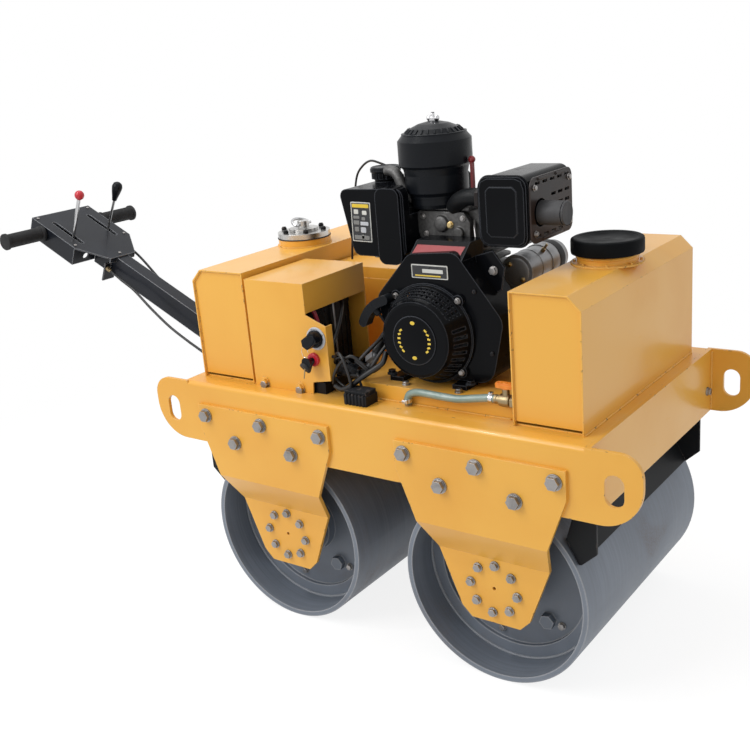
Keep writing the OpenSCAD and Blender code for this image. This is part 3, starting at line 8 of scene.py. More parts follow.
import logging
import math
from dataclasses import dataclass
from enum import Enum
from typing import Iterable, Sequence

import bmesh
import bpy
from mathutils import Matrix, Vector

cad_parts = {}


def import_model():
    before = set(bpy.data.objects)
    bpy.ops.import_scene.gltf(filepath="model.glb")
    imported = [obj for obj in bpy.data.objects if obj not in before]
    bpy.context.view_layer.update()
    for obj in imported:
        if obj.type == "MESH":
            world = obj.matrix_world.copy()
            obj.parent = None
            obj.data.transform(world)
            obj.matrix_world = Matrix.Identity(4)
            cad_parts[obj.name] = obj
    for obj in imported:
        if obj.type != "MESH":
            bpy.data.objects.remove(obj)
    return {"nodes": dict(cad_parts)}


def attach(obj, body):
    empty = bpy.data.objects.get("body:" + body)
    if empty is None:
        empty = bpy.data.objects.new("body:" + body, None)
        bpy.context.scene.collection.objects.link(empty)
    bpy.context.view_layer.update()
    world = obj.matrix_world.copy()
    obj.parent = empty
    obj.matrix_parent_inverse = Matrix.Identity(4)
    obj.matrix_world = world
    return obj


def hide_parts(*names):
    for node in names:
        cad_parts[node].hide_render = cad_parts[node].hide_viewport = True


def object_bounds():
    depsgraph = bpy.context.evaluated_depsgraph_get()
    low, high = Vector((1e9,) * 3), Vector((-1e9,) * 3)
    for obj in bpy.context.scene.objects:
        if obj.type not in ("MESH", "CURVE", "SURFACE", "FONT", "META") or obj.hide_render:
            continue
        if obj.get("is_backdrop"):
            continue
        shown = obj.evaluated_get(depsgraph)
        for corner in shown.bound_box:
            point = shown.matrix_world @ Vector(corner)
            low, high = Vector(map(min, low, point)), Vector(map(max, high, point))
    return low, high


log = logging.getLogger("roller")
Colour = tuple[float, float, float]
Point = tuple[float, float, float]
Pair = tuple[float, float]

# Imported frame: how far its zero lies behind the machine's own, and a millimetre in its metres
MIDDLE = 357.8025382794814
MM = 0.001
# Handle's hinge pin and slope, and the crankshaft's axis
PIVOT = (-575.0, 0.0, 511.0)
HANDLE_TILT = math.radians(25.7)
CRANK = (105.0, 0.0, 722.0)
# Directions, and the machine's two sides
FORWARD = Vector((1, 0, 0))
LEFT = Vector((0, 1, 0))
NEAR = Vector((0, -1, 0))
UP = Vector((0, 0, 1))
HANDS = ((-1, "right"), (1, "left"))
# Edges above this angle, in degrees, stay sharp
SHARP = 38.0
# Radius of a hexagon's corners, with 1 across its flats
HEX_CORNER = 0.577
WHITE = (1.0, 1.0, 1.0)


def spot(x: float = 0, y: float = 0, z: float = 0) -> Matrix:
    """Matrix that puts a piece in millimetres at a point of the machine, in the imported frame."""
    return Matrix.Scale(MM, 4) @ Matrix.Translation((x + MIDDLE, y, z))


def on_handle(x: float = 0, y: float = 0, z: float = 0) -> Matrix:
    """Matrix of a point in the handle's own frame: pivot at zero, box towards -X."""
    return spot(*PIVOT) @ Matrix.Rotation(HANDLE_TILT, 4, "Y") @ Matrix.Translation((x, y, z))


def on_engine(x: float = 0, y: float = 0, z: float = 0) -> Matrix:
    """Matrix of a point measured from the crankshaft's axis."""
    return spot(CRANK[0] + x, CRANK[1] + y, CRANK[2] + z)


def metres(points: Iterable[Point]) -> list[Vector]:
    """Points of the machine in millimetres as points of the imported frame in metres."""
    return [spot() @ Vector(p) for p in points]


def smooth_route(points: Sequence[Point], steps: int) -> list[Vector]:
    """The curve through a route's points, as the CAD draws it.

    Args:
        points: The route, in millimetres.
        steps: Pieces between two neighbouring points.

    Returns:
        Points along the curve, in millimetres.
    """
    p = [Vector(q) for q in points]
    found = []
    for i in range(len(p) - 1):
        a, b, c, d = p[max(i - 1, 0)], p[i], p[i + 1], p[min(i + 2, len(p) - 1)]
        for k in range(steps):
            t = k / steps
            found.append(0.5 * (2 * b + (c - a) * t + (2 * a - 5 * b + 4 * c - d) * t * t
                                + (3 * b - a - 3 * c + d) * t ** 3))
    return found + [p[-1]]


def turn(count: int, start: float = 0.0, closed: bool = False) -> list[float]:
    """Angles, in radians, that share out a full turn; a closed one comes back to its start."""
    return [start + math.tau * k / count for k in range(count + closed)]


def circle(middle: Point, radius: float, angles: Iterable[float],
           upright: bool = False) -> list[Point]:
    """Points of a circle that lies flat, or stands upright and faces the near side.

    Args:
        middle: Its centre.
        radius: Its radius.
        angles: The points' angles, in radians from the front.
        upright: Whether it stands.

    Returns:
        The points.
    """
    x, y, z = middle
    found = []
    for a in angles:
        ahead, aside = radius * math.cos(a), radius * math.sin(a)
        found.append((x + ahead, y, z + aside) if upright else (x + ahead, y + aside, z))
    return found


def round_corners(wide: float, high: float, inset: float, radius: float, steps: int) -> list[Pair]:
    """Outline of a rectangle with round corners, about its middle.

    Args:
        wide: The rectangle's width.
        high: Its height.
        inset: How far inside it the corners' centres lie.
        radius: The corners' radius.
        steps: Pieces of each corner.

    Returns:
        The outline, from the right side on.
    """
    found = []
    for k, (side, end) in enumerate(((1, 1), (-1, 1), (-1, -1), (1, -1))):
        x, y = side * (wide / 2 - inset), end * (high / 2 - inset)
        for i in range(steps + 1):
            a = math.radians(90 * k + 90 / steps * i)
            found.append((x + radius * math.cos(a), y + radius * math.sin(a)))
    return found


def facing(way: Vector, *points: Point) -> list[tuple[Point, Vector]]:
    """Places that all face one way."""
    return [(p, way) for p in points]


def shade(colour: Colour, factor: float, lift: float = 0.0) -> Colour:
    """A colour made darker or paler."""
    return tuple(min(1.0, c * factor + lift) for c in colour)


# Shader values and surfaces


class Value:
    """A number socket of a node tree, on which Python's operators add Math nodes."""

    def __init__(self, tree: "Tree", socket: bpy.types.NodeSocket) -> None:
        """Keeps the socket and the tree that it belongs to."""
        self.tree, self.socket = tree, socket

    def _math(self, operation: str, a: object, b: object) -> "Value":
        """One Math node on two values."""
        return self.tree.value("ShaderNodeMath", {"operation": operation}, {0: a, 1: b})

    def __add__(self, other: object) -> "Value":
        """Sum."""
        return self._math("ADD", self, other)

    def __radd__(self, other: object) -> "Value":
        """Sum with a number in front."""
        return self._math("ADD", other, self)

    def __sub__(self, other: object) -> "Value":
        """Difference."""
        return self._math("SUBTRACT", self, other)

    def __rsub__(self, other: object) -> "Value":
        """Difference with a number in front."""
        return self._math("SUBTRACT", other, self)

    def __mul__(self, other: object) -> "Value":
        """Product."""
        return self._math("MULTIPLY", self, other)

    def __rmul__(self, other: object) -> "Value":
        """Product with a number in front."""
        return self._math("MULTIPLY", other, self)

    def either(self, other: "Value") -> "Value":
        """The greater of two."""
        return self._math("MAXIMUM", self, other)

    def span(self, low: float, high: float, to_low: float = 0.0, to_high: float = 1.0) -> "Value":
        """A smooth step.

        Args:
            low: Where it starts.
            high: Where it ends.
            to_low: What it gives up to its start.
            to_high: What it gives from its end on.

        Returns:
            The step's value.
        """
        return self.tree.value(
            "ShaderNodeMapRange", {"interpolation_type": "SMOOTHSTEP", "clamp": True},
            {"Value": self, "From Min": low, "From Max": high, "To Min": to_low, "To Max": to_high})


class Tree:
    """A node tree of a finish, a pattern or the studio, and the one way to add its nodes."""

    def __init__(self, tree: bpy.types.NodeTree) -> None:
        """Keeps the tree."""
        self.tree = tree

    def node(self, kind: str, settings: dict | None = None,
             sockets: dict | None = None) -> bpy.types.Node:
        """Adds a node.

        Args:
            kind: The node's type.
            settings: Properties to set first.
            sockets: Values or links by socket name or number.

        Returns:
            The new node.
        """
        made = self.tree.nodes.new(kind)
        for key, value in (settings or {}).items():
            setattr(made, key, value)
        for key, value in (sockets or {}).items():
            self.feed(made.inputs[key], value)
        return made

    def value(self, kind: str, settings: dict | None = None, sockets: dict | None = None,
              output: str | int = 0) -> Value:
        """The number that a new node gives at an output."""
        return Value(self, self.node(kind, settings, sockets).outputs[output])

    def feed(self, socket: bpy.types.NodeSocket, value: object) -> None:
        """Links a value to a socket, or sets it there.

        Args:
            socket: An input.
            value: A Value or socket to link, or a number, colour or other setting.
        """
        if isinstance(value, Value):
            value = value.socket
        if isinstance(value, bpy.types.NodeSocket):
            self.tree.links.new(value, socket)
        elif isinstance(value, tuple) and len(value) == 3 and socket.type == "RGBA":
            socket.default_value = (*value, 1.0)
        else:
            socket.default_value = value


class Surface(Tree):
    """The nodes of one material, with short ways to add what this machine's finishes need."""

    def __init__(self, name: str) -> None:
        """Starts a material with its shader.

        Args:
            name: The material's name.
        """
        self.material = bpy.data.materials.new(name)
        self.material.use_nodes = True
        super().__init__(self.material.node_tree)
        self.shader = self.tree.nodes["Principled BSDF"]

    def place(self, stretch: Point = (1, 1, 1)) -> bpy.types.NodeSocket:
        """Object coordinates.

        Args:
            stretch: Factors along the axes.

        Returns:
            The coordinates.
        """
        found = self.node("ShaderNodeTexCoord").outputs["Object"]
        if stretch == (1, 1, 1):
            return found
        made = self.node("ShaderNodeVectorMath", {"operation": "MULTIPLY"}, {0: found, 1: stretch})
        return made.outputs[0]

    def noise(self, scale: float, detail: float = 2.0, stretch: Point = (1, 1, 1),
              warp: float = 0.0) -> Value:
        """Cloudy noise from 0 to 1, its scale in cycles a metre."""
        return self.value("ShaderNodeTexNoise", None, {
            "Vector": self.place(stretch), "Scale": scale, "Detail": detail, "Distortion": warp})

    def cells(self, scale: float) -> Value:
        """Distance to the nearest of scattered points."""
        return self.value("ShaderNodeTexVoronoi", None,
                          {"Vector": self.place(), "Scale": scale}, "Distance")

    def facing(self) -> bpy.types.NodeSocket:
        """Direction that the surface faces."""
        return self.node("ShaderNodeNewGeometry").outputs["Normal"]

    def upward(self) -> Value:
        """How far the surface faces up, from -1 to 1."""
        return self.value("ShaderNodeSeparateXYZ", None, {0: self.facing()}, 2)

    def mix(self, share: object, first: object, second: object) -> bpy.types.NodeSocket:
        """Colour between two colours."""
        made = self.node("ShaderNodeMix", {"data_type": "RGBA"}, {0: share, 6: first, 7: second})
        return made.outputs[2]

    def rounded(self, radius: float) -> bpy.types.NodeSocket:
        """Normal that rounds the edges off by a radius in metres."""
        return self.node("ShaderNodeBevel", {"samples": 6}, {"Radius": radius}).outputs[0]

    def edges(self, radius: float) -> Value:
        """Finds outer edges.

        Args:
            radius: How far they reach, in metres.

        Returns:
            1 along outer edges, 0 on flats.
        """
        same = self.value("ShaderNodeVectorMath", {"operation": "DOT_PRODUCT"},
                          {0: self.rounded(radius), 1: self.facing()}, "Value")
        return (1 - same).span(0.012, 0.16)

    def bump(self, height: Value, depth: float, radius: float) -> None:
        """Bumps the surface and rounds its edges.

        Args:
            height: Height of the bumps.
            depth: What a height of 1 stands for, in metres.
            radius: Radius of the edges, in metres.
        """
        made = self.node("ShaderNodeBump", None, {
            "Height": height, "Distance": depth, "Strength": 1.0, "Normal": self.rounded(radius)})
        self.feed(self.shader.inputs["Normal"], made.outputs[0])

    def settle(self, **sockets: object) -> bpy.types.Material:
        """Feeds the shader's sockets.

        Args:
            sockets: Values or links by socket name, with underscores for its blanks.

        Returns:
            The material.
        """
        for key, value in sockets.items():
            self.feed(self.shader.inputs[key.replace("_", " ")], value)
        return self.material


@dataclass(frozen=True)
class Finish:
    """A finish with a colour, told apart by its name."""

    name: str
    colour: Colour
    rough: float = 0.5

    def material(self) -> bpy.types.Material:
        """The finish as a material, made once."""
        return bpy.data.materials.get(self.name) or self.dress(Surface(self.name))

    def roughness(self, cloud: Value, low: float, high: float, less: float, more: float) -> Value:
        """Roughness round the finish's own that follows a cloud between low and high."""
        return cloud.span(low, high, self.rough - less, self.rough + more)

    def dress(self, s: Surface) -> bpy.types.Material:
        """Fills the node tree, as each kind of finish does in its own way.

        Args:
            s: The empty surface.

        Returns:
            Its material.
        """
        raise NotImplementedError


@dataclass(frozen=True)
class Enamel(Finish):
    """Sprayed gloss paint: orange peel, slow colour drift, dust on tops, edge chips and a painted
    edge highlight.
    """

    drift: Colour = (0.77, 0.375, 0.062)
    bare: Colour = (0.10, 0.07, 0.05)
    dust: Colour = (0.62, 0.50, 0.34)
    # Painted highlight: a paler colour laid along the edges, and how much of it
    rubbed: Colour = (0.95, 0.62, 0.20)
    rub: float = 0.22
    peel: float = 0.00006
    gloss: float = 0.5
    chips: float = 0.5
    soil: float = 0.25
    coat: float = 0.35
    edge: float = 0.0016

    def dress(self, s: Surface) -> bpy.types.Material:
        """Colour drifts slowly, chips and a painted highlight follow the edges, dust lies on what
        faces up.

        Args:
            s: The empty surface.

        Returns:
            Its material.
        """
        cloud = s.noise(3.2, 4, warp=0.4)
        grain = s.noise(70, 5)
        speck = s.noise(260, 2)
        edge = s.edges(0.004)
        start = 0.80 - 0.08 * self.chips
        chip = edge * (grain + speck * 0.35).span(start, start + 0.06)
        dusty = s.upward().span(0.35, 0.95) * s.noise(9, 5).span(0.45, 0.75) * self.soil
        scuff = s.noise(26, 6, (1, 1, 3.5)).span(0.66, 0.74) * 0.35
        colour = s.mix(cloud.span(0.35, 0.68), self.colour, self.drift)
        # Painted highlight: edges lightened towards a paler colour, standing in for light caught on
        # them
        colour = s.mix(edge * self.rub, colour, self.rubbed)
        colour = s.mix(dusty, colour, self.dust)
        colour = s.mix(chip, colour, self.bare)
        s.bump(s.noise(420, 1) + chip * -1.6 + s.noise(11, 2) * 1.5, self.peel, self.edge)
        return s.settle(
            Base_Color=colour, Coat_Weight=(1 - chip) * self.coat, Coat_Roughness=0.12,
            Specular_IOR_Level=self.gloss,
            Roughness=self.roughness(cloud, 0.2, 0.8, 0.05, 0.08) + dusty * 0.5 + scuff * 0.3)


@dataclass(frozen=True)
class Rolled(Finish):
    """Rolled drum steel: rings round the drum, soft rust bloom and a brighter worn rim."""

    bright: Colour = (0.42, 0.43, 0.45)
    rust: Colour = (0.20, 0.13, 0.09)
    edge: float = 0.002

    def dress(self, s: Surface) -> bpy.types.Material:
        """Rings are noise squeezed along the axle.

        Args:
            s: The empty surface.

        Returns:
            Its material.
        """
        rings = s.noise(1.0, 6, (3, 150, 3))
        bloom = s.noise(5, 6, warp=0.8)
        grain = s.noise(240, 3)
        edge = s.edges(0.006)
        stain = bloom.span(0.56, 0.76) * grain.span(0.3, 0.7)
        colour = s.mix(rings.span(0.3, 0.7), self.colour, shade(self.colour, 1.28))
        colour = s.mix(bloom.span(0.3, 0.7) * 0.4, colour, shade(self.colour, 0.78))
        colour = s.mix(stain * 0.45, colour, self.rust)
        colour = s.mix(edge * 0.8, colour, self.bright)
        s.bump(rings * 0.6 + grain * 0.5, 0.00025, self.edge)
        return s.settle(Base_Color=colour, Metallic=0.18,
                        Roughness=self.roughness(rings, 0.2, 0.8, 0.06, 0.1) + stain * 0.2)


@dataclass(frozen=True)
class Metal(Finish):
    """Bare or plated metal with fine brushing, stains and bright edges."""

    metal: float = 1.0
    grime: Colour = (0.05, 0.045, 0.04)
    soil: float = 0.35
    grain: float = 0.0001
    edge: float = 0.0008

    def dress(self, s: Surface) -> bpy.types.Material:
        """Stains gather in clouds, and edges wear bright.

        Args:
            s: The empty surface.

        Returns:
            Its material.
        """
        cloud = s.noise(30, 5, warp=0.5)
        fine = s.noise(700, 3)
        edge = s.edges(0.002)
        colour = s.mix(fine.span(0.3, 0.7), self.colour, shade(self.colour, 0.82))
        colour = s.mix(cloud.span(0.45, 0.8) * self.soil, colour, self.grime)
        colour = s.mix(edge * 0.6, colour, shade(self.colour, 1.3, 0.03))
        s.bump(fine + cloud * 0.6, self.grain, self.edge)
        return s.settle(Base_Color=colour, Metallic=self.metal,
                        Roughness=self.roughness(cloud, 0.3, 0.8, 0.06, 0.14))


@dataclass(frozen=True)
class Cast(Metal):
    """Sand-cast metal with a coarse skin."""

    metal: float = 0.75
    grain: float = 0.0005
    edge: float = 0.003

    def dress(self, s: Surface) -> bpy.types.Material:
        """The skin is two sizes of grain, with dark pits.

        Args:
            s: The empty surface.

        Returns:
            Its material.
        """
        coarse, fine = s.noise(160, 5), s.noise(520, 3)
        cloud = s.noise(18, 5, warp=0.6)
        pits = s.cells(420).span(0.12, 0.3)
        edge = s.edges(0.004)
        colour = s.mix(coarse.span(0.3, 0.7), self.colour, shade(self.colour, 0.7))
        colour = s.mix(cloud.span(0.45, 0.8) * self.soil, colour, self.grime)
        colour = s.mix((1 - pits) * 0.5, colour, self.grime)
        colour = s.mix(edge * 0.4, colour, shade(self.colour, 1.35, 0.02))
        s.bump(coarse + fine * 0.5 + pits * 0.4, self.grain, self.edge)
        return s.settle(Base_Color=colour, Metallic=self.metal,
                        Roughness=self.roughness(coarse, 0.3, 0.8, 0.06, 0.1))


@dataclass(frozen=True)
class Moulded(Finish):
    """Moulded plastic or rubber: fine grain, a bloom on tops and edges worn paler."""

    grain: float = 0.00012
    bloom: float = 0.4
    pale: Colour = (0.12, 0.12, 0.12)
    gloss: float = 0.5
    edge: float = 0.0012

    def dress(self, s: Surface) -> bpy.types.Material:
        """Grain is scattered points; the bloom is a pale cloud.

        Args:
            s: The empty surface.

        Returns:
            Its material.
        """
        grain, cloud = s.cells(900), s.noise(22, 5, warp=0.3)
        edge = s.edges(0.0025)
        top = s.upward().span(0.2, 1.0) * cloud.span(0.4, 0.75) * self.bloom
        colour = s.mix(cloud.span(0.3, 0.7) * 0.5, self.colour, shade(self.colour, 0.7))
        colour = s.mix(top * 0.35 + edge * 0.3, colour, self.pale)
        s.bump(grain * -1.0 + cloud * 0.4, self.grain, self.edge)
        return s.settle(Base_Color=colour, Specular_IOR_Level=self.gloss,
                        Roughness=self.roughness(cloud, 0.3, 0.7, 0.05, 0.1) + top * 0.3)


@dataclass(frozen=True)
class Flexible(Finish):
    """Hose or cable cover with soil in patches and, on a clear hose, a wet gloss."""

    pale: Colour = (0.3, 0.3, 0.3)
    clear: float = 0.0

    def dress(self, s: Surface) -> bpy.types.Material:
        """A cloudy wall with dusty patches.

        Args:
            s: The empty surface.

        Returns:
            Its material.
        """
        cloud, fine = s.noise(40, 5), s.noise(600, 2)
        colour = s.mix(cloud.span(0.35, 0.75) * 0.6, self.colour, self.pale)
        s.bump(fine + cloud, 0.0001, 0.0004)
        return s.settle(Base_Color=colour, Roughness=self.roughness(fine, 0.2, 0.8, 0.05, 0.08),
                        Coat_Weight=cloud.span(0.2, 0.8, self.clear * 0.5, self.clear))


class Finishes:
    """Every finish on the machine."""

    # Every enamel has a painted highlight on its edges, strongest on the black and charcoal ones
    yellow = Enamel("orange_yellow_enamel", (0.82, 0.425, 0.058), 0.36, drift=(0.78, 0.38, 0.047),
        gloss=0.4, chips=0.2, coat=0.24)
    black = Enamel("black_gloss_enamel", (0.0026, 0.0030, 0.0040), 0.22,
        drift=(0.0042, 0.0046, 0.0060), gloss=0.03, bare=(0.06, 0.06, 0.07),
        dust=(0.03, 0.03, 0.03), rubbed=(0.19, 0.205, 0.235), rub=0.32, chips=0.1, soil=0.08,
        coat=0.10, edge=0.0026)
    charcoal = Enamel("charcoal_enamel", (0.0085, 0.0100, 0.0140), 0.36,
        drift=(0.013, 0.015, 0.021), gloss=0.17, bare=(0.30, 0.30, 0.30), dust=(0.05, 0.055, 0.065),
        rubbed=(0.62, 0.64, 0.68), rub=0.45, chips=0.4, soil=0.3, coat=0.10, edge=0.0018)
    sooty = Enamel("sooty_black_enamel", (0.011, 0.0080, 0.0080), 0.42, drift=(0.034, 0.018, 0.012),
        gloss=0.2, bare=(0.12, 0.08, 0.06), dust=(0.06, 0.05, 0.045), rubbed=(0.10, 0.09, 0.09),
        chips=0.35, soil=0.3, coat=0.08)
    dull_black = Enamel("dull_black_enamel", (0.006, 0.007, 0.008), 0.5,
        drift=(0.010, 0.010, 0.012), gloss=0.15, bare=(0.10, 0.08, 0.07), dust=(0.10, 0.09, 0.08),
        rubbed=(0.07, 0.07, 0.08), chips=0.5, soil=0.3, coat=0.03)
    drum = Rolled("rolled_drum_steel", (0.170, 0.193, 0.230), 0.5)
    zinc = Metal("zinc_plating", (0.36, 0.345, 0.335), 0.36, soil=0.45)
    chrome = Metal("polished_plating", (0.62, 0.62, 0.63), 0.14, soil=0.2)
    flange = Metal("turned_aluminium", (0.58, 0.57, 0.555), 0.28, soil=0.22)
    starter = Metal("starter_steel", (0.31, 0.315, 0.325), 0.4, metal=0.6, soil=0.3)
    scaled = Metal("heat_scaled_pipe", (0.050, 0.050, 0.053), 0.62, metal=0.2, soil=0.3)
    steel = Metal("ground_steel", (0.34, 0.34, 0.34), 0.3, soil=0.4)
    brass = Metal("worn_brass", (0.36, 0.28, 0.16), 0.42, soil=0.5)
    gold_nut = Metal("passivated_nut", (0.66, 0.50, 0.24), 0.3, soil=0.25)
    grey_cast = Cast("grey_casting", (0.135, 0.133, 0.131), 0.5, soil=0.5)
    black_plastic = Moulded("satin_black_plastic", (0.0055, 0.0068, 0.0092), 0.3, bloom=0.25,
        grain=0.00004, gloss=0.15, pale=(0.055, 0.062, 0.072))
    cap_plastic = Moulded("dark_cap_plastic", (0.0035, 0.0042, 0.0052), 0.5, bloom=0.0,
        grain=0.00004, gloss=0.06, pale=(0.03, 0.034, 0.04))
    rubber = Moulded("black_rubber", (0.010, 0.010, 0.011), 0.6, grain=0.0002, gloss=0.3,
        pale=(0.06, 0.06, 0.06))
    grip = Moulded("grip_rubber", (0.012, 0.012, 0.013), 0.55, grain=0.0003, gloss=0.3,
        pale=(0.07, 0.07, 0.07))
    red_plastic = Moulded("red_plastic", (0.55, 0.02, 0.035), 0.3, bloom=0.1,
        pale=(0.8, 0.25, 0.25))
    red_paint = Moulded("red_lever_paint", (0.24, 0.014, 0.018), 0.4, bloom=0.2,
        pale=(0.35, 0.2, 0.2))
    red_strip = Moulded("red_film", (0.36, 0.030, 0.034), 0.3, bloom=0.6, pale=(0.62, 0.30, 0.31),
        grain=0.00002)
    orange = Moulded("orange_lever_coat", (0.85, 0.25, 0.015), 0.38, bloom=0.1,
        pale=(0.9, 0.5, 0.2))
    yellow_mark = Moulded("yellow_marking_film", (0.80, 0.56, 0.035), 0.42, bloom=0.05,
        pale=(0.7, 0.6, 0.3), grain=0.00002)
    pale_film = Moulded("pale_border_film", (0.66, 0.66, 0.62), 0.4, bloom=0.1,
        pale=(0.5, 0.5, 0.48), grain=0.00002)
    dark_film = Moulded("dark_plate_film", (0.018, 0.019, 0.022), 0.25, bloom=0.2, grain=0.00002)
    grey_film = Moulded("grey_block_film", (0.20, 0.20, 0.195), 0.4, bloom=0.1,
        pale=(0.3, 0.3, 0.3), grain=0.00002)
    grey_plastic = Moulded("pale_grey_plastic", (0.52, 0.54, 0.58), 0.4, bloom=0.1,
        pale=(0.7, 0.7, 0.7))
    white_pipe = Moulded("white_pipe_plastic", (0.70, 0.70, 0.67), 0.35, bloom=0.3,
        pale=(0.6, 0.57, 0.5))
    hose = Flexible("pale_green_hose", (0.19, 0.27, 0.235), 0.3, pale=(0.34, 0.40, 0.36), clear=0.6)
    cable = Flexible("black_cable_cover", (0.0045, 0.0045, 0.005), 0.45, pale=(0.008, 0.008, 0.009),
        clear=0.06)
    red_cable = Flexible("red_cable_cover", (0.42, 0.02, 0.06), 0.4, pale=(0.5, 0.08, 0.1),
        clear=0.2)
    tape = Flexible("loom_tape", (0.010, 0.010, 0.011), 0.5, pale=(0.030, 0.030, 0.032), clear=0.15)


class Body(Enum):
    """CAD bodies that pieces ride on."""

    CHASSIS = "chassis"
    FRONT_DRUM = "front_drum_body"
    REAR_DRUM = "rear_drum_body"
    HANDLE = "handle"
    TRAVEL = "travel"
    THROTTLE = "throttle"
    WATER_LID = "water_lid"
    TAP = "tap"
    FUEL_LID = "fuel_lid"
    KEY = "key"
    SELECTOR = "selector"


# Meshes


class Solid:
    """A mesh under construction, in millimetres at one place of the machine."""

    # Smaller radii make a point, and flatter folds, in radians, aren't softened
    # Vertices closer than merge are one, and a tube's side shorter than straight is renewed
    point = 1e-6
    fold = 0.35
    merge = 1e-5
    straight = 1e-4

    def __init__(self, name: str, place: Matrix | None = None) -> None:
        """Starts an empty mesh with its name and the matrix that places it."""
        self.name, self.place, self.mesh = name, place or spot(), bmesh.new()

    def lathe(self, profile: Sequence[Pair], along: Vector = UP, at: Point = (0, 0, 0),
              steps: int = 48) -> "Solid":
        """Turns a profile of radius and height about an axis.

        Args:
            profile: Pairs of radius and height, from one end of the axis to the other.
            along: The axis.
            at: The profile's zero.
            steps: Sides of the turn.

        Returns:
            This mesh.
        """
        tilt = UP.rotation_difference(Vector(along).normalized()).to_matrix().to_4x4()
        move = Matrix.Translation(at) @ tilt
        rows = []
        for r, h in profile:
            ring = circle((0, 0, h), r, turn(steps)) if r >= self.point else [(0, 0, h)]
            rows.append([self.mesh.verts.new(move @ Vector(p)) for p in ring])
        for low, high in zip(rows, rows[1:]):
            for k in range(steps):
                n = (k + 1) % steps
                ring = [low[k % len(low)], low[n % len(low)],
                        high[n % len(high)], high[k % len(high)]]
                ring = [v for i, v in enumerate(ring) if v not in ring[:i]]
                if len(ring) > 2:
                    self.mesh.faces.new(ring)
        for row in (rows[0][::-1], rows[-1]):
            if len(row) > 2:
                self.mesh.faces.new(row)
        return self

    def prism(self, outline: Sequence[Pair], depth: float, across: Vector = FORWARD,
              up: Vector = UP, at: Point = (0, 0, 0), soften: float = 0.0,
              segments: int = 2) -> "Solid":
        """Pushes an outline out to a plate with softened rims.

        Args:
            outline: Corners in across and up.
            depth: Thickness, along across x up.
            across: Direction of the first number.
            up: Direction of the second number.
            at: The outline's zero.
            soften: Radius of the rims.
            segments: Steps of the rims.

        Returns:
            This mesh.
        """
        across, up = Vector(across).normalized(), Vector(up).normalized()
        out = across.cross(up).normalized()
        base = [Vector(at) + across * x + up * y for x, y in outline]
        low = [self.mesh.verts.new(p) for p in base]
        high = [self.mesh.verts.new(p + out * depth) for p in base]
        faces = [self.mesh.faces.new(low[::-1]), self.mesh.faces.new(high)]
        for k in range(len(low)):
            n = (k + 1) % len(low)
            faces.append(self.mesh.faces.new((low[k], low[n], high[n], high[k])))
        if soften:
            edges = {e for f in faces for e in f.edges if e.calc_face_angle(0) > self.fold}
            bmesh.ops.bevel(self.mesh, geom=list(edges), offset=soften, segments=segments,
                            affect="EDGES", profile=0.6)
        return self

    def block(self, size: Point, at: Point, soften: float = 1.0) -> "Solid":
        """A box with rounded edges.

        Args:
            size: Its length, depth and height.
            at: Its middle.
            soften: Radius of the edges.

        Returns:
            This mesh.
        """
        x, y, z = (s / 2 for s in size)
        return self.prism([(-x, -z), (x, -z), (x, z), (-x, z)], size[1],
                          at=(at[0], at[1] + y, at[2]), soften=soften)

    def sweep(self, points: Sequence[Point], radius: float | Sequence[float],
              sides: int = 16) -> "Solid":
        """Draws a round tube along points.

        Args:
            points: The tube's middle line.
            radius: One radius, or one for each point.
            sides: Sides of the tube.

        Returns:
            This mesh.
        """
        p = [Vector(q) for q in points]
        radii = [radius] * len(p) if isinstance(radius, (int, float)) else list(radius)
        side = UP
        rows = []
        for i, q in enumerate(p):
            t = (p[min(i + 1, len(p) - 1)] - p[max(i - 1, 0)]).normalized()
            side = side - side.dot(t) * t
            if side.length < self.straight:
                side = t.orthogonal()
            side.normalize()
            other = t.cross(side)
            rows.append([self.mesh.verts.new(
                q + radii[i] * (math.cos(a) * side + math.sin(a) * other)) for a in turn(sides)])
        for low, high in zip(rows, rows[1:]):
            for k in range(sides):
                n = (k + 1) % sides
                self.mesh.faces.new((low[k], low[n], high[n], high[k]))
        self.mesh.faces.new(rows[0][::-1])
        self.mesh.faces.new(rows[-1])
        return self

    def finish(self, coat: Finish, body: Body = Body.CHASSIS, sharp: float = SHARP,
               stands_for: Sequence[str] = ()) -> bpy.types.Object:
        """Turns the mesh into a piece that rides on a body.

        Args:
            coat: Its finish.
            body: The CAD body that it moves with.
            sharp: Edges above this angle, in degrees, stay sharp.
            stands_for: CAD nodes that it replaces.

        Returns:
            The piece.
        """
        bmesh.ops.remove_doubles(self.mesh, verts=self.mesh.verts, dist=self.merge)
        bmesh.ops.recalc_face_normals(self.mesh, faces=self.mesh.faces)
        self.mesh.transform(self.place)
        data = bpy.data.meshes.new(self.name)
        self.mesh.to_mesh(data)
        self.mesh.free()
        return dress(self.name, data, coat, body, sharp, stands_for)


def dress(name: str, data: bpy.types.Mesh, coat: Finish, body: Body, sharp: float,
          stands_for: Sequence[str] = ()) -> bpy.types.Object:
    """Shades a placed mesh, gives it a finish and lets it ride on a body.

    Args:
        name: The piece's name.
        data: Its mesh, at its place.
        coat: Its finish.
        body: The CAD body that it moves with.
        sharp: Edges above this angle, in degrees, stay sharp.
        stands_for: CAD nodes that it replaces.

    Returns:
        The piece.
    """
    for face in data.polygons:
        face.use_smooth = True
    data.set_sharp_from_angle(angle=math.radians(sharp))
    data.materials.clear()
    data.materials.append(coat.material())
    piece = bpy.data.objects.new(name, data)
    bpy.context.scene.collection.objects.link(piece)
    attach(piece, body.value)
    if stands_for:
        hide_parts(*stands_for)
    log.info("piece %s: %d faces", name, len(data.polygons))
    return piece


# Geometry Nodes for what repeats


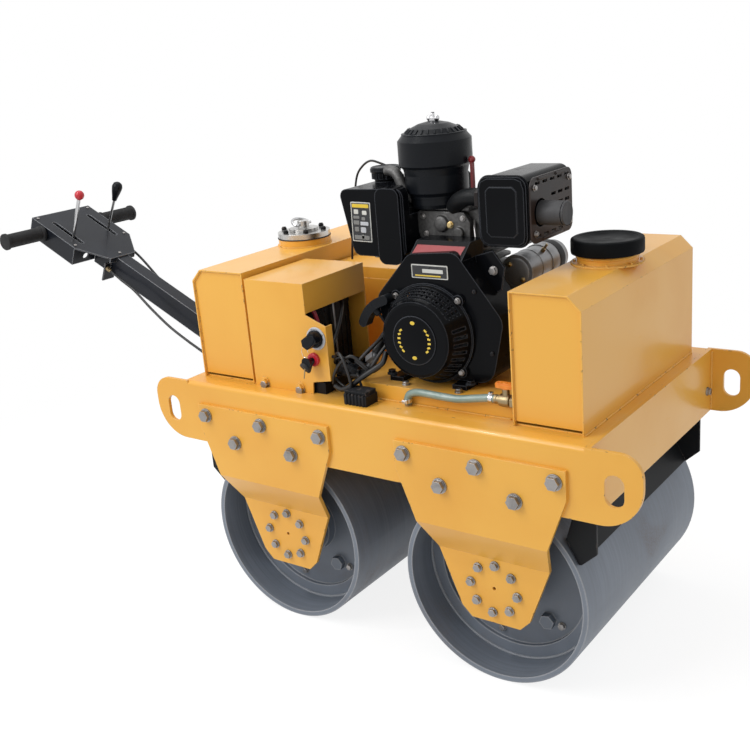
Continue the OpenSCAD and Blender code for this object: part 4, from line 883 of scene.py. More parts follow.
class Pattern(Tree):
    """A Geometry Nodes tree that puts copies of a small shape on points that carry their aim."""

    def __init__(self, name: str, sizes: dict[str, float]) -> None:
        """Starts a tree with a geometry input and one named input for each size.

        Args:
            name: The tree's name.
            sizes: Its sizes in metres, as they are where lay is given no other.
        """
        super().__init__(bpy.data.node_groups.new(name, "GeometryNodeTree"))
        face = self.tree.interface
        for way in ("INPUT", "OUTPUT"):
            face.new_socket("Geometry", in_out=way, socket_type="NodeSocketGeometry")
        self.sockets = {}
        for key, value in sizes.items():
            made = face.new_socket(key, in_out="INPUT", socket_type="NodeSocketFloat")
            made.default_value = value
            self.sockets[key] = made.identifier
        self.start, self.end = self.node("NodeGroupInput"), self.node("NodeGroupOutput")

    def size(self, key: str) -> Value:
        """The tree's input of that name."""
        return Value(self, self.start.outputs[key])

    def named(self, kind: str, name: str) -> bpy.types.NodeSocket:
        """What the points carry under a name."""
        made = self.node("GeometryNodeInputNamedAttribute", {"data_type": kind}, {"Name": name})
        return made.outputs[0]

    def lifted(self, shape: bpy.types.NodeSocket, lift: Value) -> bpy.types.NodeSocket:
        """A shape moved up by a number."""
        up = self.node("ShaderNodeCombineXYZ", None, {"Z": lift}).outputs[0]
        return self.node("GeometryNodeTransform", None, {0: shape, "Translation": up}).outputs[0]

    def drum(self, radius: Value, depth: Value, sides: int, lift: Value) -> bpy.types.NodeSocket:
        """A short prism on Z.

        Args:
            radius: Radius of its corners.
            depth: Its height.
            sides: How many sides it has.
            lift: Height of its middle.

        Returns:
            The shape.
        """
        made = self.node("GeometryNodeMeshCylinder", {"fill_type": "NGON"},
                         {"Vertices": sides, "Radius": radius, "Depth": depth})
        return self.lifted(made.outputs["Mesh"], lift)

    def close(self, coat: Finish, *shapes: bpy.types.NodeSocket) -> "Pattern":
        """Puts the joined shapes on the points, turned to their aim, as real faces.

        Args:
            coat: The tree's own finish.
            shapes: The shapes.

        Returns:
            This pattern.
        """
        joined = self.node("GeometryNodeJoinGeometry")
        for shape in shapes:
            self.feed(joined.inputs[0], shape)
        aimed = self.node("FunctionNodeAlignRotationToVector", {"axis": "Z"},
                          {"Vector": self.named("FLOAT_VECTOR", "aim")})
        spun = self.node("FunctionNodeAxisAngleToRotation", None,
                         {"Axis": (0, 0, 1), "Angle": self.named("FLOAT", "clock")})
        both = self.node("FunctionNodeRotateRotation", {"rotation_space": "LOCAL"},
                         {"Rotation": aimed.outputs[0], "Rotate By": spun.outputs[0]})
        placed = self.node("GeometryNodeInstanceOnPoints", None, {
            "Points": self.start.outputs[0], "Instance": joined.outputs[0],
            "Rotation": both.outputs[0]})
        real = self.node("GeometryNodeRealizeInstances", None, {0: placed.outputs[0]})
        painted = self.node("GeometryNodeSetMaterial", None,
                            {"Geometry": real.outputs[0], "Material": coat.material()})
        self.feed(self.end.inputs[0], painted.outputs[0])
        return self

    def lay(self, name: str, places: Sequence[tuple[Vector, Vector, float]], coat: Finish,
            body: Body = Body.CHASSIS, sizes: dict[str, float] | None = None,
            sharp: float = SHARP) -> bpy.types.Object:
        """Lays the pattern on places and keeps the result as a plain mesh.

        Args:
            name: The piece's name.
            places: Points in metres, directions and clock angles.
            coat: The finish.
            body: The CAD body it rides on.
            sizes: Sizes that differ from the tree's own, in metres.
            sharp: Edges above this angle, in degrees, stay sharp.

        Returns:
            The piece.
        """
        points, ways, clocks = zip(*places)
        seed = bpy.data.meshes.new(name + "_points")
        seed.from_pydata([tuple(p) for p in points], [], [])
        aim = seed.attributes.new("aim", "FLOAT_VECTOR", "POINT")
        aim.data.foreach_set("vector", [c for way in ways for c in way.normalized()])
        clock = seed.attributes.new("clock", "FLOAT", "POINT")
        clock.data.foreach_set("value", clocks)
        holder = bpy.data.objects.new(name + "_points", seed)
        bpy.context.scene.collection.objects.link(holder)
        modifier = holder.modifiers.new(name, "NODES")
        modifier.node_group = self.tree
        for key, value in (sizes or {}).items():
            modifier[self.sockets[key]] = value
        graph = bpy.context.evaluated_depsgraph_get()
        graph.update()
        data = bpy.data.meshes.new_from_object(
            holder.evaluated_get(graph), preserve_all_data_layers=False, depsgraph=graph)
        holder.modifiers.clear()
        bpy.data.objects.remove(holder)
        data.name = name
        for extra in [a.name for a in data.attributes if a.name in ("aim", "clock")]:
            data.attributes.remove(data.attributes[extra])
        return dress(name, data, coat, body, sharp)


class Patterns:
    """The machine's repeated shapes: hexagon heads, round screws, bars, ribs and weld ripples."""

    def __init__(self) -> None:
        """Builds each tree once."""
        self.hex = self._hex()
        self.screw = self._screw()
        self.bar = self._bar()
        self.ring = self._ring()
        self.ripple = self._ripple()

    def _hex(self) -> Pattern:
        """Hexagon head with a washer and a crowned end; sizes in metres.

        Returns:
            The pattern.
        """
        p = Pattern("hexagon_heads", {"Across": 0.016, "Height": 0.007, "Washer": 0.0022})
        across, high, washer = p.size("Across"), p.size("Height"), p.size("Washer")
        return p.close(Finishes.zinc,
                       p.drum(across * HEX_CORNER, high, 6, high * 0.5 + washer),
                       p.drum(across * 0.45, high * 0.16, 20, high * 1.05 + washer),
                       p.drum(across * 0.68, washer, 24, washer * 0.5))

    def _screw(self) -> Pattern:
        """Round screw head with a raised rim; sizes in metres.

        Returns:
            The pattern.
        """
        p = Pattern("round_screws", {"Across": 0.009, "Height": 0.003})
        across, high = p.size("Across"), p.size("Height")
        return p.close(Finishes.zinc, p.drum(across * 0.5, high * 0.7, 16, high * 0.35),
                       p.drum(across * 0.38, high, 16, high * 0.5))

    def _bar(self) -> Pattern:
        """Short bar lying across its direction; sizes in metres.

        Returns:
            The pattern.
        """
        p = Pattern("short_bars", {"Length": 0.02, "Width": 0.003, "Depth": 0.002})
        size = p.node("ShaderNodeCombineXYZ", None,
                      {"X": p.size("Length"), "Y": p.size("Width"), "Z": p.size("Depth")})
        cube = p.node("GeometryNodeMeshCube", None, {"Size": size.outputs[0]})
        return p.close(Finishes.black, p.lifted(cube.outputs["Mesh"], p.size("Depth") * 0.5))

    def _ring(self) -> Pattern:
        """Round rib about its direction; sizes in metres.

        Returns:
            The pattern.
        """
        p = Pattern("round_ribs", {"Radius": 0.02, "Wire": 0.001})
        path, wire = (p.node("GeometryNodeCurvePrimitiveCircle", None,
                             {"Resolution": sides, "Radius": p.size(key)}).outputs["Curve"]
                      for sides, key in ((40, "Radius"), (8, "Wire")))
        tube = p.node("GeometryNodeCurveToMesh", None, {"Curve": path, "Profile Curve": wire})
        return p.close(Finishes.grip, tube.outputs[0])

    def _ripple(self) -> Pattern:
        """One ripple of a weld bead, thin along its direction; sizes in metres.

        Returns:
            The pattern.
        """
        p = Pattern("weld_ripples", {"Radius": 0.003})
        made = p.node("GeometryNodeMeshIcoSphere", None,
                      {"Radius": p.size("Radius"), "Subdivisions": 2})
        flat = p.node("GeometryNodeTransform", None,
                      {"Geometry": made.outputs["Mesh"], "Scale": (1.0, 1.0, 0.62)})
        return p.close(Finishes.yellow, flat.outputs[0])


def along(points: Sequence[Vector], step: float) -> list[tuple[Vector, Vector]]:
    """Even places along a line.

    Args:
        points: The line.
        step: Distance between places, in the points' own unit.

    Returns:
        Each place with the line's direction there.
    """
    found, left = [], 0.0
    for a, b in zip(points, points[1:]):
        length = (b - a).length
        while left < length:
            found.append((a.lerp(b, left / length), (b - a).normalized()))
            left += step
        left -= length
    return found


# Camera, lamps and floor


@dataclass(frozen=True)
class Viewpoint:
    """The photograph's camera, solved from the frame, drums and tanks."""

    where: Point = (1271.42, -1935.27, 1313.99)
    right: Point = (0.80890, 0.58214, -0.08244)
    up: Point = (-0.11632, 0.29591, 0.94811)
    back: Point = (0.57632, -0.75733, 0.30707)
    lens: float = 50.02
    sensor: float = 36.0
    clip: Pair = (0.05, 60.0)

    def build(self) -> None:
        """Makes the scene's camera."""
        data = bpy.data.cameras.new("viewpoint")
        data.lens, data.sensor_width = self.lens, self.sensor
        data.clip_start, data.clip_end = self.clip
        camera = bpy.data.objects.new("viewpoint", data)
        bpy.context.scene.collection.objects.link(camera)
        axes = Matrix((self.right, self.up, self.back)).transposed().to_4x4()
        camera.matrix_world = Matrix.Translation(spot() @ Vector(self.where)) @ axes
        bpy.context.scene.camera = camera


@dataclass(frozen=True)
class Lamp:
    """A soft lamp aimed at the machine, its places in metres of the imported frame."""

    name: str
    where: Point
    power: float
    size: float
    aim: Point = (0.0, 0.0, 0.5)

    def build(self) -> None:
        """Makes the lamp."""
        data = bpy.data.lights.new(self.name, "AREA")
        data.energy, data.shape, data.size = self.power, "DISK", self.size
        lamp = bpy.data.objects.new(self.name, data)
        bpy.context.scene.collection.objects.link(lamp)
        lamp.location = self.where
        lamp.rotation_mode = "QUATERNION"
        way = Vector(self.aim) - Vector(self.where)
        lamp.rotation_quaternion = way.to_track_quat("-Z", "Y")


@dataclass(frozen=True)
class Studio:
    """White surroundings, a pale floor that keeps the shadow near the machine, and soft lamps."""

    ambient: float = 0.61
    floor_size: float = 30.0
    floor_level: float = -0.0005
    floor_colour: Colour = (0.80, 0.80, 0.80)
    shade_colour: Colour = (0.24, 0.24, 0.24)
    shade_glow: float = 0.84
    shade_reach: Pair = (1.2, 2.3)
    lamps: tuple[Lamp, ...] = (
        Lamp("key", (-1.6, -3.4, 3.3), 80.0, 2.4),
        Lamp("top", (-0.8, 0.4, 4.1), 36.0, 2.6),
        Lamp("glint", (-1.8, -2.2, 4.6), 34.0, 0.3),
        Lamp("front_fill", (3.6, -1.2, 1.8), 2.0, 2.0),
    )

    def build(self) -> None:
        """Sets the world, the lamps and the floor."""
        bpy.context.scene.view_settings.view_transform = "Standard"
        self._world()
        for lamp in self.lamps:
            lamp.build()
        self._floor()

    @staticmethod
    def seen(tree: Tree) -> Value:
        """What tells the eye's rays from plain light.

        Args:
            tree: The tree that asks.

        Returns:
            1 for what is seen straight, mirrored or through glass, and 0 for plain light.
        """
        light = tree.node("ShaderNodeLightPath").outputs
        camera, glossy, through = (
            Value(tree, light[f"Is {kind} Ray"]) for kind in ("Camera", "Glossy", "Transmission"))
        return camera.either(glossy).either(through)

    def _world(self) -> None:
        """A room that is white to the eye and lights the machine at the ambient level."""
        world = bpy.data.worlds.new("white_room")
        bpy.context.scene.world = world
        world.use_nodes = True
        world.node_tree.nodes.clear()
        tree = Tree(world.node_tree)
        room, white = (tree.node("ShaderNodeBackground", None, {"Color": WHITE, "Strength": power})
                       for power in (self.ambient, 1.0))
        mixed = tree.node("ShaderNodeMixShader", None,
                          {0: self.seen(tree), 1: room.outputs[0], 2: white.outputs[0]})
        tree.node("ShaderNodeOutputWorld", None, {0: mixed.outputs[0]})

    def _floor(self) -> None:
        """A white floor: the eye sees the shadow near the machine and plain white further out."""
        half = self.floor_size / 2
        data = bpy.data.meshes.new("floor")
        data.from_pydata([(x * half, y * half, self.floor_level)
                          for x, y in ((-1, -1), (1, -1), (1, 1), (-1, 1))], [], [(0, 1, 2, 3)])
        material = bpy.data.materials.new("pale_floor")
        material.use_nodes = True
        material.node_tree.nodes.clear()
        tree = Tree(material.node_tree)
        matt, faint = (tree.node("ShaderNodeBsdfDiffuse", None, {"Color": colour})
                       for colour in (self.floor_colour, self.shade_colour))
        glow, white = (tree.node("ShaderNodeEmission", None, {"Color": WHITE, "Strength": power})
                       for power in (self.shade_glow, 1.0))
        near = tree.node("ShaderNodeAddShader", None, {0: faint.outputs[0], 1: glow.outputs[0]})
        place = tree.node("ShaderNodeTexCoord").outputs["Object"]
        apart = tree.value("ShaderNodeVectorMath", {"operation": "DISTANCE"},
                           {0: place, 1: (MIDDLE * MM, 0.0, 0.0)}, "Value")
        looks = tree.node("ShaderNodeMixShader", None, {
            0: apart.span(*self.shade_reach), 1: near.outputs[0], 2: white.outputs[0]})
        mixed = tree.node("ShaderNodeMixShader", None,
                          {0: self.seen(tree), 1: matt.outputs[0], 2: looks.outputs[0]})
        tree.node("ShaderNodeOutputMaterial", None, {0: mixed.outputs[0]})
        data.materials.append(material)
        floor = bpy.data.objects.new("floor", data)
        bpy.context.scene.collection.objects.link(floor)
        floor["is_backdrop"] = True


# Sub-assemblies


@dataclass
class Dressed:
    """What each sub-assembly shares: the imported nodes, the patterns and ways to use both."""

    nodes: dict
    patterns: Patterns
    # Metres between a weld's ripples, for each millimetre of its radius
    ripple_step: float = 0.0009
    # A screw head's height, and in metres its washer, for each millimetre across
    head_height: float = 0.42
    head_washer: float = 0.00014
    # Radians from one screw's clock angle to the next one's
    head_turn: float = 0.4

    def coat(self, finish: Finish, *names: str) -> None:
        """Gives CAD nodes a finish.

        Args:
            finish: The finish.
            names: The nodes' names.
        """
        for name in names:
            materials = self.nodes[name].data.materials
            materials.clear()
            materials.append(finish.material())
            log.info("node %s: %s", name, finish.name)

    def weld(self, name: str, points: Sequence[Point], radius: float,
             coat: Finish = Finishes.yellow, body: Body = Body.CHASSIS) -> None:
        """Lays a rippled weld bead.

        Args:
            name: The piece's name.
            points: The line that it follows, in millimetres.
            radius: Radius of the bead.
            coat: Its finish.
            body: The CAD body it rides on.
        """
        places = [(p, d, 0.0) for p, d in along(metres(points), radius * self.ripple_step)]
        self.patterns.ripple.lay(name, places, coat, body, {"Radius": radius / 1000}, sharp=180)

    def screws(self, name: str, places: Sequence[tuple[Point, Vector]], across: float,
               body: Body = Body.CHASSIS, coat: Finish = Finishes.zinc, round_head: bool = False,
               high: float = 0.0) -> None:
        """Lays screw heads.

        Args:
            name: The piece's name.
            places: Points in millimetres and the ways that the heads face.
            across: Width of a head.
            body: The CAD body it rides on.
            coat: The finish.
            round_head: Whether the heads are round, not hexagons.
            high: Height of a head, or 0 for the usual one.
        """
        pattern = self.patterns.screw if round_head else self.patterns.hex
        sizes = {"Across": across / 1000, "Height": (high or across * self.head_height) / 1000}
        if not round_head:
            sizes["Washer"] = across * self.head_washer
        spots = [(spot() @ Vector(p), way, self.head_turn * i) for i, (p, way) in enumerate(places)]
        pattern.lay(name, spots, coat, body, sizes)

    def bars(self, name: str, places: Sequence[tuple[Vector, Vector]], size: Point, coat: Finish,
             body: Body = Body.CHASSIS) -> None:
        """Lays short bars.

        Args:
            name: The piece's name.
            places: Points in metres, and the ways that the bars face.
            size: Length, width and depth of a bar, in metres.
            coat: The finish.
            body: The CAD body it rides on.
        """
        self.patterns.bar.lay(name, [(p, way, 0.0) for p, way in places], coat, body,
                              dict(zip(("Length", "Width", "Depth"), size)))


@dataclass
class Cord:
    """A hose or cable that follows a route, in millimetres."""

    name: str
    route: Sequence[Point]
    across: float
    coat: Finish
    body: Body = Body.CHASSIS
    stands_for: tuple[str, ...] = ()
    stiffness: str = "medium"
    sides: int = 20
    steps: int = 8

    def build(self) -> bpy.types.Object:
        """Returns:
            The piece.
        """
        line = smooth_route(self.route, self.steps)
        path = metres(line)
        piece = Solid(self.name).sweep(line, self.across / 2, self.sides).finish(
            self.coat, self.body, stands_for=self.stands_for)
        self.across / 1000
        return piece


@dataclass
class Frame(Dressed):
    """Side plates, deck, cross plates, supports, scrapers and pipes."""

    low: float = 432.0
    top: float = 580.0
    corner: Pair = (519.0, 321.0)
    corner_margin: float = 6.0
    corner_bead: float = 3.4
    bed_bead: float = 2.6
    bed: tuple[Point, ...] = ((-68, -257, 581), (320, -257, 581))
    plate_bolts: tuple[Point, ...] = ((518.2, 296, 486), (518.2, -296, 486))
    rail_bolts: tuple[Point, ...] = ((60, -238, 614.2), (190, -238, 614.2))

    def build(self) -> None:
        """Coats the frame and adds its welds and bolts."""
        self.coat(Finishes.yellow, "right_side_plate", "left_side_plate", "deck",
                  "front_cross_plate", "rear_cross_plate", "engine_bed", "front_supports",
                  "rear_supports")
        self.coat(Finishes.zinc, "support_bolts", "handle_pin")
        self.coat(Finishes.dull_black, "scrapers")
        self.coat(Finishes.white_pipe, "sprinkler_pipes")
        for end, word in ((1, "front"), (-1, "rear")):
            for side, hand in HANDS:
                x, y = end * self.corner[0], side * self.corner[1]
                line = [(x, y, self.low + self.corner_margin),
                        (x, y, self.top - self.corner_margin)]
                self.weld(f"{word}_{hand}_corner_weld", line, self.corner_bead)
        self.weld("engine_bed_weld", self.bed, self.bed_bead)
        self.screws("front_plate_bolt", facing(FORWARD, *self.plate_bolts), 15)
        self.screws("rail_bolts", facing(UP, *self.rail_bolts), 13)


@dataclass
class Drums(Dressed):
    """The two drums with their hubs, carriers and motors."""

    axles: Pair = (280.0, -280.0)
    height: float = 212.5
    web: float = 205.0
    web_weld: Pair = (199.5, 215.5)
    web_bead: float = 4.0
    bolts: int = 6
    bolt_circle: float = 150.0
    bolt_start: float = 0.3

    def build(self) -> None:
        """Coats the drums and adds the welds and bolts of their webs."""
        self.coat(Finishes.drum, "front_drum", "rear_drum")
        self.coat(Finishes.steel, "front_drive_hub", "rear_drive_hub", "drum_bearings",
                  "eccentric_shaft")
        self.coat(Finishes.grey_cast, "bearing_carriers")
        self.coat(Finishes.dull_black, "drive_motors", "vibration_motor")
        radius, out = self.web_weld
        for x, word, body in zip(self.axles, ("front", "rear"),
                                 (Body.FRONT_DRUM, Body.REAR_DRUM)):
            for side, hand in HANDS:
                ring = circle((x, side * out, self.height), radius, turn(96, closed=True), True)
                self.weld(f"{word}_{hand}_web_weld", ring, self.web_bead, Finishes.drum, body)
            bolts = circle((x, -self.web - 0.2, self.height), self.bolt_circle,
                           turn(self.bolts, self.bolt_start), True)
            self.screws(f"{word}_web_bolts", facing(NEAR, *bolts), 13, body)


@dataclass
class Tanks(Dressed):
    """Water tank at the front and oil tank at the back, with welds, neck, tap and hose."""

    water_x: Pair = (338.0, 486.0)
    oil_x: Pair = (-494.0, -336.0)
    half_width: float = 283.0
    floor: float = 580.0
    water_top: float = 847.0
    oil_top: float = 840.0
    chamfer: float = 25.8
    sheet: float = 3.0
    end_inset: float = 4.6
    end_bead: float = 2.0
    foot_inset: float = 4.0
    foot_bead: float = 2.6
    filler_y: float = 40.0
    filler_rise: float = 18.0
    filler_circle: float = 54.0
    filler_weld: Pair = (66.0, 0.6)
    filler_bead: float = 2.2
    neck_weld: Pair = (72.5, 0.8)
    neck_bead: float = 2.0
    neck_rise: float = 15.0
    cap_rise: float = 28.3
    wing_rise: float = 27.0
    tap: Point = (315.0, -265.0, 623.0)
    hose: tuple[Point, ...] = (
        (291, -265, 623), (276, -265, 623), (240, -266, 617), (205, -268, 612), (165, -268, 612),
        (130, -267, 613), (106, -266, 612), (88, -265, 606), (81, -265, 596), (81, -265, 584))

    def build(self) -> None:
        """Coats the tanks and builds what is on them."""
        self.coat(Finishes.yellow, "water_tank", "oil_tank")
        self.coat(Finishes.flange, "filler_flange", "oil_cap")
        self.coat(Finishes.chrome, "filler_ring")
        self.coat(Finishes.brass, "hose_fittings")
        self.coat(Finishes.orange, "tap_lever")
        self.coat(Finishes.cap_plastic, "water_cap")
        self._seams("water", *self.water_x, self.water_top, 1)
        self._seams("oil", *self.oil_x[::-1], self.oil_top, -1)
        self._filler()
        self._neck()
        self._clamps()
        self._tap()

    def _seams(self, word: str, inner: float, outer: float, top: float, way: int) -> None:
        """Weld beads where the set-in end plates meet the wrapped sheet, and along the foot.

        Args:
            word: The tank's name.
            inner: X of its side towards the engine.
            outer: X of its other side.
            top: Its height.
            way: 1 where X grows from inner to outer, or -1.
        """
        back, front, foot = inner + way * self.sheet, outer - way * self.sheet, self.floor + 10
        high = top - self.sheet
        for side, hand in HANDS:
            y = side * (self.half_width - self.end_inset)
            self.weld(f"{word}_{hand}_end_weld", [
                (back, y, foot), (back, y, high), (front - way * self.chamfer, y, high),
                (front, y, high - self.chamfer), (front, y, foot)], self.end_bead)
        half = self.half_width - self.foot_inset
        for x, place in ((inner - way * 0.5, "inner"), (outer + way * 0.5, "outer")):
            self.weld(f"{word}_{place}_foot_weld",
                      [(x, y, self.floor + 1) for y in (-half, half)], self.foot_bead)

    def _filler(self) -> None:
        """Black screws on the oil filler's flange, its gasket and its weld."""
        x, y, z = sum(self.oil_x) / 2, self.filler_y, self.oil_top + self.filler_rise
        rim = circle((x, y, z + 15), self.filler_circle, turn(6, math.radians(15)))
        self.screws("filler_screws", facing(UP, *rim), 13, coat=Finishes.dull_black,
                    round_head=True, high=8.5)
        Solid("filler_gasket", spot(x, y, z)).lathe(
            [(63, -1.2), (66.2, -1.2), (66.6, 0.2), (66.2, 1.6), (63, 1.6)]).finish(Finishes.rubber)
        radius, rise = self.filler_weld
        ring = circle((x, y, self.oil_top + rise), radius, turn(60, closed=True))
        self.weld("filler_weld", ring, self.filler_bead)

    def _neck(self) -> None:
        """The water neck's weld and rolled lip, and the crown and dish of its cap."""
        x, (radius, rise) = sum(self.water_x) / 2, self.neck_weld
        ring = circle((x, 0, self.water_top + rise), radius, turn(72, closed=True))
        self.weld("neck_weld", ring, self.neck_bead)
        Solid("neck_roll", spot(x, 0, self.water_top + self.neck_rise)).lathe(
            [(60.8, -3.4), (63.2, -2.6), (64.2, 0), (63.2, 2.6), (60.8, 3.4)],
            steps=72).finish(Finishes.yellow)
        for word, profile in (
                ("crown", [(57, 19.6), (59, 21.0), (65, 22.4), (69.5, 22.4), (72.4, 20.6),
                           (73.4, 17.5), (73.4, -4), (72.6, -7.6), (70.2, -8.3), (68.6, -7.4),
                           (68.2, 16.5), (60, 18.6)]),
                ("dish", [(0, 14.4), (20, 14.9), (44, 16.9), (58.5, 20.6), (57.5, 17.2),
                          (0, 13.2)])):
            Solid(f"water_cap_{word}", spot(x, 0, self.water_top + self.cap_rise)).lathe(
                profile, steps=96).finish(Finishes.cap_plastic, Body.WATER_LID)

    def _clamps(self) -> None:
        """The clear hose, and a worm clamp at each of its ends."""
        Cord("water_line", self.hose, 16, Finishes.hose, stands_for=("water_hose",),
             sides=28).build()
        for name, at, way, off, box, worm in (
                ("tap_clamp", (282, -265, 623), FORWARD, (0, 0, 10.5), (8, 8, 5), LEFT),
                ("deck_clamp", (81, -265, 591), UP, (0, -10.5, 0), (12, 5, 8), FORWARD)):
            clamp = Solid(name, spot(*at))
            clamp.lathe([(8.2, -4), (9.3, -4.2), (9.3, 4.2), (8.2, 4)], way, steps=32)
            clamp.block(box, off, 0.8)
            clamp.lathe([(0, -7.5), (3.2, -7.5), (3.4, -7), (3.4, 2), (0, 2)], worm, off, 16)
            clamp.finish(Finishes.chrome)

    def _tap(self) -> None:
        """The tap's brass body and nut, and its orange wings."""
        x, y, z = self.tap
        Solid("tap_body", spot(x, y, z)).lathe(
            [(6.2, -25), (9.5, -24), (9.5, -20), (8.5, -19), (8.5, -14), (12.4, -12), (13.2, -6),
             (13.2, 4), (12.4, 9), (9.5, 11), (9.5, 12)], FORWARD, steps=32).finish(Finishes.brass)
        Solid("tap_nut", spot(x + 17.5, y, z)).lathe(
            [(6.5, -5.5), (13.6, -5), (14.4, -4), (14.4, 4), (13.6, 5), (6.5, 5.5)], FORWARD,
            steps=6).finish(Finishes.brass, sharp=20)
        outline = []
        for a in turn(36):
            r = 8.0 + 14.5 * abs(math.cos(a)) ** 3
            outline.append((r * math.cos(a), r * math.sin(a) * 1.15))
        wings = Solid("tap_wings", spot(x, y, z + self.wing_rise))
        wings.prism(outline, 7.5, up=LEFT, soften=1.6, segments=3)
        wings.lathe([(0, 7), (4.4, 7), (4.6, 9.4), (3.6, 10.4), (0, 10.6)], steps=16)
        wings.finish(Finishes.orange, Body.TAP)


@dataclass
class Cabinets(Dressed):
    """Battery cabinet with its switch panel, the battery, its leads and the hydraulic cabinet."""

    panel_y: float = -286.0
    dial: Pair = (-133.0, 710.0)
    dial_depth: float = 3.4
    dial_circle: float = 22.6
    dial_corners: tuple[Pair, ...] = ((0.9, 0.44), (-0.44, 0.9), (0.44, -0.9))
    knob_turn: float = -35.0
    key: Pair = (-144.0, 662.0)
    boot_rise: float = 9.0
    boot_length: float = 24.0
    bolt_x: Pair = (-296.6, -191.8)
    bolt_height: float = 586.0
    battery: Point = (-316.7, -274.0, 583.0)
    loom: tuple[Point, ...] = (
        (-128, -283, 640), (-128, -275, 640), (-128, -266, 640), (-118, -250, 632),
        (-92, -246, 627), (-64, -248, 626), (-42, -246, 630), (-30, -232, 650), (-30, -206, 676),
        (-32, -170, 696), (-32, -130, 702), (-28, -102, 700), (-14, -84, 700), (-2, -84, 700),
        (10, -84, 700))
    loop: tuple[Point, ...] = (
        (-105, -272, 668), (-101, -272, 668), (-97, -272, 668), (-80, -284, 682),
        (-62, -292, 674), (-50, -294, 648), (-46, -292, 624), (-46, -292, 615), (-46, -292, 605))
    lead: tuple[Point, ...] = (
        (-253, -121, 775.7), (-228, -123, 775.7), (-204, -126, 774), (-184, -131, 765),
        (-170, -142, 748), (-158, -160, 739), (-148, -180, 726), (-139, -208, 702),
        (-130, -240, 680), (-124, -264, 666), (-124, -274, 666), (-124, -283, 666))
    red_lead: tuple[Point, ...] = (
        (74, 34, 184), (100, 36, 186), (128, 42, 178), (139, 48, 150), (140, 52, 100),
        (139, 56, 50), (141, 64, 14))
    rod: tuple[Point, ...] = ((134, 116, 6), (134, 116, 176), (130, 116, 183), (112, 116, 184))
    plugs: tuple[tuple[Point, Point, Finish], ...] = (
        ((-78, -262, 640), (26, 15, 13), Finishes.dull_black),
        ((-60, -266, 646), (22, 13, 15), Finishes.black_plastic),
        ((-22, -240, 664), (20, 14, 22), Finishes.starter),
        ((-96, -258, 636), (18, 14, 12), Finishes.black_plastic))
    strands: tuple[tuple[float, tuple[Point, ...]], ...] = (
        (3.1, ((-110, -262, 646), (-96, -272, 664), (-80, -270, 668), (-64, -262, 652),
               (-48, -262, 632), (-34, -272, 612), (-22, -276, 603))),
        (3.1, ((-122, -262, 632), (-104, -268, 616), (-84, -270, 604), (-62, -276, 600),
               (-50, -284, 604))),
        (4.2, ((-70, -256, 640), (-52, -252, 656), (-40, -240, 672), (-26, -220, 690),
               (-14, -200, 706), (-2, -190, 720))),
        (4.2, ((-46, -250, 636), (-26, -256, 640), (-14, -250, 654), (-6, -236, 672),
               (4, -222, 690))),
        (3.6, ((-106, -276, 608), (-97, -282, 630), (-80, -284, 655), (-60, -284, 672),
               (-45, -280, 677), (-28, -272, 662), (-11, -262, 640))),
        (6.0, ((-101, -276, 603), (-78, -282, 600), (-52, -284, 612), (-22, -280, 634),
               (4, -270, 652), (18, -258, 664), (14, -238, 680))),
        (2.0, ((-48, -268, 664), (-36, -268, 656), (-22, -268, 648), (-8, -262, 640),
               (8, -254, 650))))

    def build(self) -> None:
        """Coats the cabinets and builds the panel, battery and leads."""
        self.coat(Finishes.yellow, "battery_cabinet", "hydraulic_cabinet")
        self.coat(Finishes.black_plastic, "battery", "selector_knob", "ignition_key")
        self.coat(Finishes.grey_plastic, "key_switch")
        self.coat(Finishes.dull_black, "relay_box")
        self._dial()
        self._switch()
        self._panel_screws()
        self._battery()
        self._cords()
        self._strands()

    def _dial(self) -> None:
        """The selector's ribbed knob on its pale plate."""
        x, z = self.dial
        Solid("dial_plate", spot(x, self.panel_y, z)).lathe(
            [(0, 0.1), (25.2, 0.1), (25.6, 1.2), (25.0, 3.1), (21.5, 3.7), (20.8, 3.2), (0, 3.2)],
            NEAR, steps=64).finish(Finishes.grey_plastic)
        knob = Solid("selector_handle", spot(x, self.panel_y - self.dial_depth, z))
        knob.lathe([(0, 0), (18.5, 0), (19.2, 0.8), (19.4, 5), (18.4, 6.4), (0, 6.6)], NEAR)
        ridge = [(20.3 * math.cos(a), 9.6 * math.sin(a)) for a in turn(28, math.pi / 28)]
        tilt = Matrix.Rotation(math.radians(self.knob_turn), 4, "Y")
        knob.prism(ridge, 26.5, tilt @ FORWARD, tilt @ UP, soften=2.2, segments=3)
        knob.finish(Finishes.black_plastic, Body.SELECTOR, 30)

    def _switch(self) -> None:
        """The red-ringed key switch with its boot, its key and the key's wire ring."""
        x, z = self.key
        Solid("key_ring", spot(x, self.panel_y, z)).lathe(
            [(6.4, 0.1), (14.6, 0.1), (15.2, 1.2), (15.2, 5.6), (14.2, 7.6), (12.6, 8.2),
             (7.4, 8.0), (6.4, 7.2)], NEAR).finish(Finishes.red_plastic)
        lean = Vector((-0.30, -0.74, -0.60)).normalized()
        foot = Vector((x, self.panel_y - self.boot_rise, z))
        Solid("key_boot", spot(*foot)).lathe(
            [(0, 0), (6.2, 0), (7.0, 2), (8.4, 9), (13.6, 20), (14.2, 22), (14.0, 25), (12.4, 26),
             (0, 24.5)], lean, steps=40).finish(Finishes.rubber, Body.KEY)
        tip, down = foot + lean * self.boot_length, Vector((-0.16, -0.10, -0.98))
        Solid("key_blade").sweep([tip, tip + down * 8, tip + down * 23], [1.6, 1.5, 1.2], 8).finish(
            Finishes.brass, Body.KEY)
        ring = [foot + Vector((9 * math.cos(a) - 12, -7, 19 + 12 * math.sin(a)))
                for a in turn(32)[:29]]
        Solid("key_wire").sweep(ring, 0.6, 6).finish(Finishes.chrome, Body.KEY)

